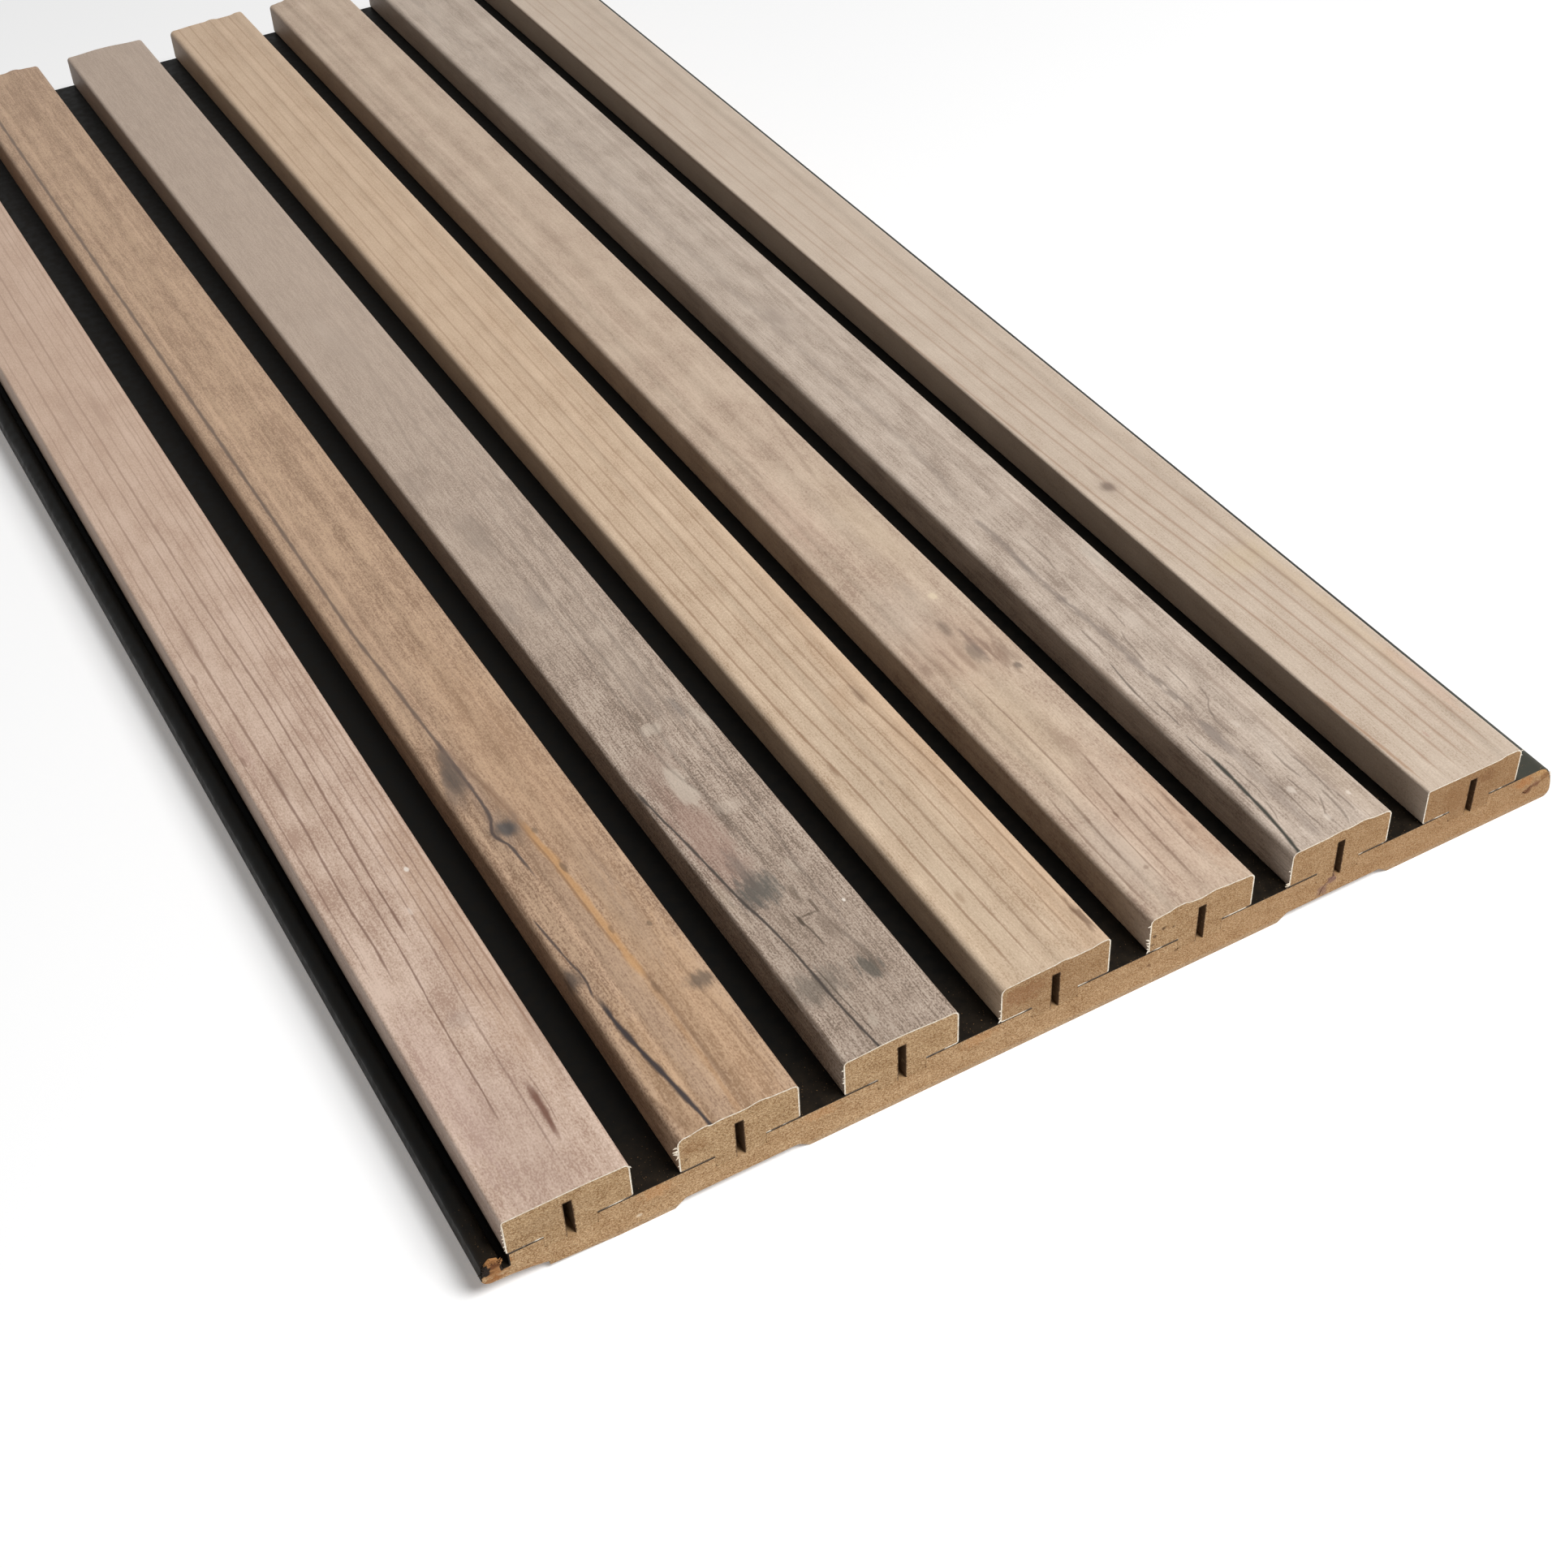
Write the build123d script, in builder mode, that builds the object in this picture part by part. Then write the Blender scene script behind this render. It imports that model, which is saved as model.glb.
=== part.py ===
from build123d import *
from math import radians, sin
import os

os.makedirs("parts", exist_ok=True)

# A slat wall panel. Slats of T section, sawn from MDF and wrapped in wood decor film, stand with
# their tongues in the grooves of a black-faced MDF backboard.
# All sizes are in millimetres. The panel lies on its back: X runs across the slats, Y along them,
# and Z points out of the panel's front. The origin is in the middle of the back's land.
# Profiles are drawn on the XZ plane and extruded both ways, so their own y is the height above
# the back.

# Panel
panel_length = 600.0
slat_count = 7
slat_pitch = 42.0

# Slat, over its film
slat_width = 30.5
slat_height = 11.1
foot_radius = 0.7

# Tongue under each slat, and the saw kerf that runs up through it
tongue_width = 12.9
tongue_depth = 3.5
tongue_chamfer = 0.6
kerf_width = 2.1
kerf_web = 3.1

# Films
wrap_thickness = 0.35
face_film_thickness = 0.3
face_film_hem = 5.0

# Backboard, with the clearances round the tongues
board_thickness = 11.3
groove_side_gap = 0.05
groove_floor_gap = 0.05

# Left lip: reaches are measured from the first slat's left side, drops from the black face and
# rises from the back. The rib stands along the lip, with a trough between it and the slat.
left_reach = 6.6
shoulder_lean = 0.5
shoulder_drop = 1.0
lip_side_drop = 4.4
rib_reach = 3.6
rib_height = 0.7
trough_inset = 0.3
trough_mouth = 2.1
trough_floor = 1.3
trough_depth = 3.9
lip_nose_reach = 4.0
lip_nose_rise = 4.3
lip_root_inset = 9.3
lip_root_rise = 2.5
bevel_rise = 1.2
bevel_length = 17.0

# Right lip: its reach is measured from the last slat's right side. From a small round heel its
# side turns in by side_turn degrees on a wide arc, and meets the face in a tighter one.
right_reach = 13.7
right_heel_radius = 2.0
side_turn = 30.0
right_round_radius = 4.0

# Relief channels in the back, under the second slat from each edge
relief_mouth = 34.7
relief_ceiling = 29.0
relief_depth = 2.1
relief_radius = 1.4

# Damage at the sawn end, which is the end at -Y. The ragged edge of the torn film is given in
# shares of the lip's width and of torn_film_length. The cracks' points are given from the last
# slat's right side and from the middle of the slat before it, and from the black face.
torn_film_length = 0.8
torn_edge = [(0.03, 0), (0.08, 0.4), (0.26, 0.6), (0.38, 1), (0.54, 0.7), (0.7, 0.8), (0.9, 0.2), (1, 0)]
crack_depth = 5.0
crack_width = 0.3
lip_crack = [(3.9, -5.9), (4.9, -6.6), (6.1, -5.1), (7.7, -5.4), (10.3, -4.4)]
groove_crack = [(-0.6, -3.5), (-2.8, -4.9), (-4.1, -6.6), (-4.7, -8.6)]

# Each slat's weathered top: the left and right corner radius, then its ridges and hollows from
# corner to corner, each as its share of the way across and its rise above slat_height.
slat_tops = [
    (0.8, 1.4, [(0, 0.05), (0.62, 0.25), (1, 0)]),
    (2.0, 1.5, [(0, 0.05), (0.19, 0.8), (0.25, 0.35), (0.32, 0.65), (0.54, 0.4), (0.7, 0.95),
                (0.82, 0.45), (1, 0.2)]),
    (1.2, 1.6, [(0, 0.15), (0.45, 0.6), (1, 0)]),
    (1.8, 1.3, [(0, 0), (0.3, 0.3), (0.45, 0.35), (0.56, 0.7), (0.68, 0.3), (0.84, 0.35),
                (0.96, 0.85), (1, 0.8)]),
    (1.5, 1.6, [(0, 0.1), (0.12, 0.4), (0.22, 1.0), (0.29, 1.05), (0.38, 0.4), (0.47, 0.15),
                (0.64, 0.75), (0.8, 0.3), (1, 0)]),
    (1.7, 1.8, [(0, 0.3), (0.28, 0.4), (0.48, 0.8), (0.58, 0.6), (0.74, 1.0), (0.88, 0.35), (1, 0.2)]),
    (0.7, 2.0, [(0, 0.05), (0.79, -0.15), (0.91, 0.4), (1, 0.3)]),
]

# Sizes that follow from those above
board_width = left_reach + (slat_count - 1) * slat_pitch + slat_width + right_reach
left_edge = -board_width / 2
right_edge = board_width / 2
half_length = panel_length / 2
sawn_end = -half_length
kerf_top = board_thickness + slat_height - kerf_web
tongue_bottom = board_thickness - tongue_depth
groove_width = tongue_width + 2 * groove_side_gap
groove_depth = tongue_depth + groove_floor_gap


def slat_left(index):
    """X of the left side of a slat, over its film."""
    return left_edge + left_reach + index * slat_pitch


def slat_middle(index):
    """X of the middle of a slat, and of its tongue, kerf and groove."""
    return slat_left(index) + slat_width / 2


def slat_body(index, inset):
    """A slat's section above the board, drawn in by inset from the outside of its film.

    From each ridge to the next hollow its top is an ogee: two equal arcs, level where they end.
    """
    left_radius, right_radius, crown = slat_tops[index % len(slat_tops)]
    left = slat_left(index) + inset
    right = slat_left(index) + slat_width - inset
    foot = board_thickness + inset
    start = slat_left(index) + left_radius
    span = slat_width - left_radius - right_radius
    top = board_thickness + slat_height - inset
    crest = [(start + share * span, top + rise) for share, rise in crown]
    round_left = left_radius - inset
    round_right = right_radius - inset
    round_foot = foot_radius - inset
    left_top = crest[0][1] - round_left
    right_top = crest[-1][1] - round_right
    with BuildSketch() as body:
        with BuildLine():
            Line((left, foot + round_foot), (left, left_top))
            JernArc((left, left_top), (0, 1), round_left, -90)
            for ridge, hollow in zip(crest, crest[1:]):
                middle = ((ridge[0] + hollow[0]) / 2, (ridge[1] + hollow[1]) / 2)
                slope = TangentArc(ridge, middle, tangent=(1, 0))
                TangentArc(middle, hollow, tangent=slope % 1)
            JernArc(crest[-1], (1, 0), round_right, -90)
            Line((right, right_top), (right, foot + round_foot))
            JernArc((right, foot + round_foot), (0, -1), round_foot, -90)
            Line((right - round_foot, foot), (left + round_foot, foot))
            JernArc((left + round_foot, foot), (-1, 0), round_foot, -90)
        make_face()
    return body.sketch


def slat_tongue(index):
    """The section of a slat's tongue, up to the top of its kerf."""
    with BuildSketch() as tongue:
        with Locations((slat_middle(index), tongue_bottom)):
            Rectangle(tongue_width, kerf_top - tongue_bottom, align=(Align.CENTER, Align.MIN))
        chamfer(tongue.vertices().group_by(Axis.Y)[0], tongue_chamfer)
    return tongue.sketch


def slat_kerf(index):
    """The saw kerf's section, open at the tongue's underside."""
    with BuildSketch() as kerf:
        with Locations((slat_middle(index), tongue_bottom)):
            Rectangle(kerf_width, kerf_top - tongue_bottom, align=(Align.CENTER, Align.MIN))
    return kerf.sketch


# The board's outline before it is grooved. It goes down the trough, over the rib, round the left
# lip, along the bevelled back and up the rounded right edge.
face = board_thickness
lip_origin = slat_left(0)
trough_x = lip_origin + trough_inset
trough_heel = (trough_x - trough_floor, face - trough_depth)
rib_foot = (trough_x - trough_mouth, face)
rib_crest = (lip_origin - rib_reach, face + rib_height)
shoulder = (left_edge + shoulder_lean, face - shoulder_drop)
lip_side = (left_edge, face - lip_side_drop)
lip_nose = (lip_origin - lip_nose_reach, lip_nose_rise)
lip_root = (lip_origin + lip_root_inset, lip_root_rise)
bevel_start = (lip_root[0], bevel_rise)
bevel_end = (lip_root[0] + bevel_length, 0)
heel_start = (right_edge - right_heel_radius, 0)
side_sine = sin(radians(side_turn))
side_radius = (face - right_heel_radius - right_round_radius * (1 - side_sine)) / side_sine

with BuildSketch() as board_outline:
    with BuildLine():
        Polyline((trough_x, face), (trough_x, face - trough_depth), trough_heel, rib_foot)
        ThreePointArc(rib_foot, rib_crest, shoulder)
        Line(shoulder, lip_side)
        nose = TangentArc(lip_side, lip_nose, tangent=(0, -1))
        TangentArc(nose @ 1, lip_root, tangent=nose % 1)
        Polyline(lip_root, bevel_start, bevel_end, heel_start)
        JernArc(heel_start, (1, 0), right_heel_radius, 90)
        side = JernArc((right_edge, right_heel_radius), (0, 1), side_radius, side_turn)
        shoulder_round = JernArc(side @ 1, side % 1, right_round_radius, 90 - side_turn)
        Line(shoulder_round @ 1, (trough_x, face))
    make_face()

# The black film's section: a skin over the board's front, hemmed a little way down both edges
with BuildSketch() as face_skin:
    add(board_outline.sketch)
    offset(amount=-face_film_thickness, mode=Mode.SUBTRACT)
    with Locations((0, face - face_film_hem)):
        Rectangle(2 * board_width, board_thickness, align=(Align.CENTER, Align.MIN), mode=Mode.INTERSECT)

# The grooves are milled through the film into the board
with BuildSketch() as grooves:
    for index in range(slat_count):
        with Locations((slat_middle(index), face - groove_depth)):
            Rectangle(groove_width, board_thickness, align=(Align.CENTER, Align.MIN))

# Shallow channels that relieve the back under the second slat from each edge
with BuildSketch() as relief_channels:
    for index in (1, slat_count - 2):
        middle = slat_middle(index)
        with BuildLine():
            Polyline(
                (middle - relief_mouth / 2, 0),
                (middle - relief_ceiling / 2, relief_depth),
                (middle + relief_ceiling / 2, relief_depth),
                (middle + relief_mouth / 2, 0),
                close=True,
            )
        make_face()
    fillet(relief_channels.vertices().group_by(Axis.Y)[-1], relief_radius)

# Cracks in the sawn end: one in the right lip, and one from under the last slat but one
with BuildSketch() as cracks:
    for origin, path in (
        (slat_left(slat_count - 1) + slat_width, lip_crack),
        (slat_middle(slat_count - 2), groove_crack),
    ):
        with BuildLine() as crack_line:
            Polyline(*[(origin + x, face + z) for x, z in path])
        trace(crack_line.line, line_width=crack_width)

# The patch over the rib where the film is torn off, seen from above
torn_patch = [
    (left_edge + across * (trough_x - left_edge), sawn_end + along * torn_film_length)
    for across, along in torn_edge
]

# Backboard
with BuildPart() as backboard:
    with BuildSketch(Plane.XZ):
        add(board_outline.sketch)
        add(face_skin.sketch, mode=Mode.SUBTRACT)
        add(grooves.sketch, mode=Mode.SUBTRACT)
        add(relief_channels.sketch, mode=Mode.SUBTRACT)
    extrude(amount=half_length, both=True)
    with BuildSketch(Plane.XZ.offset(half_length)):
        add(cracks.sketch)
    extrude(amount=-crack_depth, mode=Mode.SUBTRACT)
backboard.part.label = "backboard"
export_step(backboard.part, "parts/backboard.step")

# Black face film, as the strips that the grooves leave
with BuildPart() as face_film:
    with BuildSketch(Plane.XZ):
        add(face_skin.sketch)
        add(grooves.sketch, mode=Mode.SUBTRACT)
    extrude(amount=half_length, both=True)
    with BuildSketch(Plane.XY.offset(face - trough_depth)):
        with BuildLine():
            Polyline(*torn_patch, close=True)
        make_face()
    extrude(amount=trough_depth + 2 * rib_height, mode=Mode.SUBTRACT)
face_film.part.label = "face_film"
export_step(face_film.part, "parts/face_film.step")

for index in range(slat_count):
    number = index + 1

    # Slat core: the body inside the film, with its tongue and its kerf
    with BuildPart() as core:
        with BuildSketch(Plane.XZ):
            add(slat_body(index, wrap_thickness))
            add(slat_tongue(index))
            add(slat_kerf(index), mode=Mode.SUBTRACT)
        extrude(amount=half_length, both=True)
    core.part.label = f"slat_{number}_core"
    export_step(core.part, f"parts/slat_{number}_core.step")

    # Slat wrap: the decor film round the core, open where the tongue leaves it
    with BuildPart() as wrap:
        with BuildSketch(Plane.XZ):
            add(slat_body(index, 0))
            add(slat_body(index, wrap_thickness), mode=Mode.SUBTRACT)
            add(slat_tongue(index), mode=Mode.SUBTRACT)
        extrude(amount=half_length, both=True)
    wrap.part.label = f"slat_{number}_wrap"
    export_step(wrap.part, f"parts/slat_{number}_wrap.step")
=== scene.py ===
# %% [markdown]
# # A slat wall panel, sawn through
#
# The object is a wall panel of wood-look slats on a black-faced fibreboard. Seven slats of T section stand
# with their tongues in grooves, and each is wrapped in its own wood decor film. The solid model already
# has every piece at its real size, so this script only dresses it: it loads the pieces, makes the decor
# films again as fine surfaces that can carry a drawn grain, adds the frayed film and torn fibres of the
# sawn end, and gives every surface its finish.

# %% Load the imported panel
import math

import bpy
import numpy as np
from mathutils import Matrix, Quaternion, Vector


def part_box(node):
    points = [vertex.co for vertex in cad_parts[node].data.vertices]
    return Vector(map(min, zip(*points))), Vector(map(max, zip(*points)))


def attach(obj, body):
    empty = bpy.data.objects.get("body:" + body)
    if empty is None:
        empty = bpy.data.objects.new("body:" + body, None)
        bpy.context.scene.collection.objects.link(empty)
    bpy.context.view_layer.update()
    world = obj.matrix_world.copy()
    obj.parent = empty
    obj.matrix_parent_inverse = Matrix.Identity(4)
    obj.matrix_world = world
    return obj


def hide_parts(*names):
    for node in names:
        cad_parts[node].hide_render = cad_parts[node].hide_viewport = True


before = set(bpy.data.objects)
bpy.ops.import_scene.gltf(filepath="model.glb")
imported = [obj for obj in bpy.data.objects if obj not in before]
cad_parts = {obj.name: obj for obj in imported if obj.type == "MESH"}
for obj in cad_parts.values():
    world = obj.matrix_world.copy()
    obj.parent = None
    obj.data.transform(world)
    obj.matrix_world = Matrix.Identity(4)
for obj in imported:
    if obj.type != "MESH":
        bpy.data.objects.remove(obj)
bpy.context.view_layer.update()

print("pieces in the frame:", len(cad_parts))

# %% [markdown]
# ## Measures
#
# Blender works in metres, and a joiner thinks of this panel in millimetres. So lengths are written in
# millimetres and multiplied by `MM` when they become geometry. The places of the slats are read from the
# loaded pieces and not typed in again, so the films always sit on their own cores.

# %% Measures of the panel
MM = 0.001
SLATS = range(1, 8)
slat_box = {number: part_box(f"slat_{number}_wrap") for number in SLATS}
slat_width = (slat_box[1][1].x - slat_box[1][0].x) / MM
foot_height = slat_box[1][0].z / MM
board_low, board_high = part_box("backboard")
sawn_end = board_low.y / MM
far_end = board_high.y / MM
panel_length = far_end - sawn_end
left_sides = {number: slat_box[number][0].x / MM for number in SLATS}
print(f"{slat_width:.1f} mm wide slats, {panel_length:.0f} mm long, feet at {foot_height:.1f} mm")

# %% [markdown]
# ## The camera
#
# The panel is seen from its sawn end, from above and from the left. The camera is given as a place, a
# point that it looks at and a small roll, because those three are easy to picture and to change.

# %% Camera
camera_place = Vector((-223.12, -592.18, 418.12)) * MM
camera_target = Vector((-27.31, -212.85, 22.4)) * MM
camera_roll = math.radians(-3.09)
focal_length, sensor_width = 52.956, 36.0
nearest_seen = 10.0 * MM
camera_data = bpy.data.cameras.new("camera")
camera_data.lens = focal_length
camera_data.sensor_width = sensor_width
camera_data.clip_start = nearest_seen
camera = bpy.data.objects.new("camera", camera_data)
bpy.context.scene.collection.objects.link(camera)
camera.location = camera_place
camera.rotation_mode = "QUATERNION"
straight = (camera_target - camera_place).to_track_quat("-Z", "Y")
camera.rotation_quaternion = straight @ Quaternion((0, 0, 1), camera_roll)
bpy.context.scene.camera = camera
print("camera looks along", [round(x, 3) for x in straight @ Vector((0, 0, -1))])

# %% [markdown]
# ## Drawing with nodes
#
# Each finish is a graph of shader nodes. Writing graphs by hand takes three lines for every node, so a
# small helper class keeps that short: each of its methods adds one node and returns the output that the
# next one needs. Colours are written as they look on a screen, from 0 to 255, and `paint` turns them into
# the linear values that shaders count in.

# %% A pen for node graphs
def paint(red, green, blue):
    """A screen colour as linear light: each channel c becomes ((c + 0.055) / 1.055) to the power 2.4."""
    channels = np.array([red, green, blue]) / 255.0
    linear = np.where(channels > 0.04045, ((channels + 0.055) / 1.055) ** 2.4, channels / 12.92)
    return (*[float(c) for c in linear], 1.0)


class Pen:
    """Writes nodes into one tree. Most methods add one node and return its output socket."""

    def __init__(self, tree):
        self.tree = tree

    def node(self, kind, inputs=None, **settings):
        made = self.tree.nodes.new("ShaderNode" + kind)
        for name, value in settings.items():
            setattr(made, name, value)
        self.fill(made, inputs or {})
        return made

    def fill(self, made, inputs):
        """Sets a node's inputs: a socket is linked to its input, and anything else becomes its value."""
        for name, value in inputs.items():
            if isinstance(value, bpy.types.NodeSocket):
                self.link(value, made.inputs[name])
            else:
                made.inputs[name].default_value = value

    def link(self, output, socket):
        self.tree.links.new(output, socket)

    def math(self, operation, a, b=0.0):
        return self.node("Math", {0: a, 1: b}, operation=operation).outputs[0]

    def add(self, a, b):
        return self.math("ADD", a, b)

    def minus(self, a, b):
        return self.math("SUBTRACT", a, b)

    def times(self, a, b):
        return self.math("MULTIPLY", a, b)

    def wrap(self, value, low, high):
        """The value moved by whole spans until it lies between low and high."""
        return self.node("Math", {0: value, 1: high, 2: low}, operation="WRAP").outputs[0]

    def vector(self, x, y, z=0.0):
        return self.node("CombineXYZ", {0: x, 1: y, 2: z}).outputs[0]

    def split(self, vector):
        """The three parts of a vector, named X, Y and Z."""
        return self.node("SeparateXYZ", {0: vector}).outputs

    def place(self):
        """Where a point of the piece lies, in millimetres along the panel's own axes."""
        metres = self.node("TexCoord").outputs["Object"]
        return self.node("VectorMath", {0: metres, "Scale": 1.0 / MM}, operation="SCALE").outputs[0]

    def ramp(self, value, low, high, to_low=0.0, to_high=1.0):
        """The value carried smoothly from the span low to high onto the span to_low to to_high."""
        spans = {"Value": value, "From Min": low, "From Max": high, "To Min": to_low, "To Max": to_high}
        return self.node("MapRange", spans, interpolation_type="SMOOTHSTEP").outputs[0]

    def noise(self, vector, scale=1.0, detail=2.0):
        return self.node("TexNoise", {"Vector": vector, "Scale": scale, "Detail": detail}).outputs[0]

    def mix(self, factor, a, b):
        return self.node("Mix", {0: factor, 6: a, 7: b}, data_type="RGBA").outputs[2]

    def group(self, tree, inputs):
        made = self.tree.nodes.new("ShaderNodeGroup")
        made.node_tree = tree
        self.fill(made, inputs)
        return made.outputs


def new_group(name, inputs, outputs):
    """An empty node group. Its named inputs are values, vectors of three numbers or colours of four."""
    tree = bpy.data.node_groups.new(name, "ShaderNodeTree")
    for label, default in inputs.items():
        size = len(default) if isinstance(default, tuple) else 1
        kind = {1: "NodeSocketFloat", 3: "NodeSocketVector", 4: "NodeSocketColor"}[size]
        tree.interface.new_socket(label, in_out="INPUT", socket_type=kind).default_value = default
    for label, kind in outputs.items():
        tree.interface.new_socket(label, in_out="OUTPUT", socket_type="NodeSocket" + kind)
    pen = Pen(tree)
    given = tree.nodes.new("NodeGroupInput").outputs
    result = tree.nodes.new("NodeGroupOutput").inputs
    return pen, given, result


def new_material(name, roughness, specular):
    """A material with one Principled shader, and the pen to draw its graph with."""
    material = bpy.data.materials.new(name)
    material.use_nodes = True
    pen = Pen(material.node_tree)
    shader = material.node_tree.nodes["Principled BSDF"]
    shader.inputs["Roughness"].default_value = roughness
    shader.inputs["Specular IOR Level"].default_value = specular
    return material, pen, shader.inputs


def bump(pen, height, distance, strength):
    """The normal of a surface whose height is given from 0 to 1, where 1 stands distance metres high."""
    made = pen.node("Bump", {"Height": height, "Distance": distance, "Strength": strength})
    return made.outputs["Normal"]


# %% [markdown]
# ## The studio
#
# The light is a soft lamp from the front right and a weaker, even light from all round, so the tops and
# the sawn end are bright while the left flanks of the slats, deep in their gaps, stay dark. The two
# together light a level surface with a strength of about one, and a colour then renders about as it is
# written. The sky is weak as a light, but the camera sees it white.

# %% Lamp and sky
sky_level = 0.12
lamp_level = 0.9
lamp_place = Vector((0.75, -1.25, 2.0))
lamp_size = 1.3

scene = bpy.context.scene
scene.view_settings.view_transform = "Standard"


def looked_at(pen):
    """One for rays that the camera sends, straight or by way of a mirror or glass, and 0 for all others."""
    path = pen.node("LightPath").outputs
    by_way = pen.math("MAXIMUM", path["Is Glossy Ray"], path["Is Transmission Ray"])
    return pen.math("MAXIMUM", path["Is Camera Ray"], by_way)


world = bpy.data.worlds.new("sky")
scene.world = world
world.use_nodes = True
pen = Pen(world.node_tree)
sky = world.node_tree.nodes["Background"]
sky.inputs["Color"].default_value = (1, 1, 1, 1)
pen.link(pen.add(sky_level, pen.times(looked_at(pen), 1.0 - sky_level)), sky.inputs["Strength"])

lamp_data = bpy.data.lights.new("softbox", "AREA")
lamp_data.shape = "DISK"
lamp_data.size = lamp_size
lamp_distance = lamp_place.length
lamp_data.energy = lamp_level * math.pi ** 2 * lamp_distance ** 2 / (lamp_place.z / lamp_distance)
lamp = bpy.data.objects.new("softbox", lamp_data)
scene.collection.objects.link(lamp)
lamp.location = lamp_place
lamp.rotation_mode = "QUATERNION"
lamp.rotation_quaternion = (-lamp_place).to_track_quat("-Z", "Y")
print(f"lamp of {lamp_data.energy:.0f} W at {lamp_distance:.2f} m")

# %% [markdown]
# A pale floor lies just under the panel. Near the panel it is a real matt floor that takes the shadow.
# Farther out it fades to plain white, for camera rays only, so that the background is made white by what
# the camera sees and not by more lamp light.

# %% Floor
floor_half = 6.0
floor_drop = 0.05 * MM
floor_tone = 0.82
floor_lift = 0.2
matt_within, white_beyond = 0.45, 1.1

corners = [(x * floor_half, y * floor_half, -floor_drop) for x, y in ((-1, -1), (1, -1), (1, 1), (-1, 1))]
floor_mesh = bpy.data.meshes.new("floor")
floor_mesh.from_pydata(corners, [], [(0, 1, 2, 3)])
floor = bpy.data.objects.new("floor", floor_mesh)
scene.collection.objects.link(floor)

floor_paint, pen, matt = new_material("pale_floor", roughness=0.9, specular=0.0)
nodes = floor_paint.node_tree.nodes
matt["Base Color"].default_value = (floor_tone, floor_tone, floor_tone, 1)
place = pen.node("TexCoord").outputs["Object"]
away = pen.node("VectorMath", {0: place}, operation="LENGTH").outputs["Value"]
seen = looked_at(pen)
pen.link(pen.times(seen, floor_lift), matt["Emission Strength"])
matt["Emission Color"].default_value = (1, 1, 1, 1)
white = pen.node("Emission", {"Color": (1, 1, 1, 1), "Strength": 1.0}).outputs[0]
whitened = pen.times(seen, pen.ramp(away, matt_within, white_beyond))
blended = pen.node("MixShader", {0: whitened, 1: nodes["Principled BSDF"].outputs[0], 2: white}).outputs[0]
pen.link(blended, nodes["Material Output"].inputs["Surface"])
floor_mesh.materials.append(floor_paint)
print(f"floor: matt within {matt_within} m, white beyond {white_beyond} m")

# %% [markdown]
# ## The decor films as surfaces
#
# A profile-wrapping line folds the printed film over the moulded slat in one pass, so a film has the same
# section all along. It can be drawn as that section, a closed loop of outside and inside, carried along
# the panel's length. The top of each slat imitates hand-worn timber: low ridges and hollows that are
# joined by ogees. Here each ogee is two parabolas, which lie within hundredths of a millimetre of the
# moulder's arcs.

# %% The section of a film
film_thickness = 0.35
foot_radius = 0.7
tongue_width = 12.9
slat_height = 11.1
crest_points, side_points, corner_points, foot_points, run_points = 80, 9, 8, 4, 3

# Left and right corner radius, then the ridges and hollows: share of the way across, rise above slat_height
slat_tops = {
    1: (0.8, 1.4, [(0, 0.05), (0.62, 0.25), (1, 0)]),
    2: (2.0, 1.5, [(0, 0.05), (0.19, 0.8), (0.25, 0.35), (0.32, 0.65), (0.54, 0.4), (0.7, 0.95),
                   (0.82, 0.45), (1, 0.2)]),
    3: (1.2, 1.6, [(0, 0.15), (0.45, 0.6), (1, 0)]),
    4: (1.8, 1.3, [(0, 0), (0.3, 0.3), (0.45, 0.35), (0.56, 0.7), (0.68, 0.3), (0.84, 0.35),
                   (0.96, 0.85), (1, 0.8)]),
    5: (1.5, 1.6, [(0, 0.1), (0.12, 0.4), (0.22, 1.0), (0.29, 1.05), (0.38, 0.4), (0.47, 0.15), (0.64, 0.75),
                   (0.8, 0.3), (1, 0)]),
    6: (1.7, 1.8, [(0, 0.3), (0.28, 0.4), (0.48, 0.8), (0.58, 0.6), (0.74, 1.0), (0.88, 0.35), (1, 0.2)]),
    7: (0.7, 2.0, [(0, 0.05), (0.79, -0.15), (0.91, 0.4), (1, 0.3)]),
}


def crest(share, ridges):
    """Rise of a slat's top at a share of its width: from each ridge to the next hollow two parabolas, which
    are s = 2 t^2 up to the middle and s = 1 - 2 (1 - t)^2 past it, so that the curve is level at both."""
    at, rise = np.array(ridges).T
    part = np.clip(np.searchsorted(at, share, side="right") - 1, 0, len(at) - 2)
    t = (share - at[part]) / (at[part + 1] - at[part])
    s = np.where(t < 0.5, 2 * t ** 2, 1 - 2 * (1 - t) ** 2)
    return rise[part] + (rise[part + 1] - rise[part]) * s


def arc(centre_x, centre_z, radius, start, end, steps):
    """Points of an arc: the centre plus the radius times the cosine and sine of an angle, in degrees."""
    angle = np.radians(np.linspace(start, end, steps))
    return np.stack([centre_x + radius * np.cos(angle), centre_z + radius * np.sin(angle)], 1)


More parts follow.
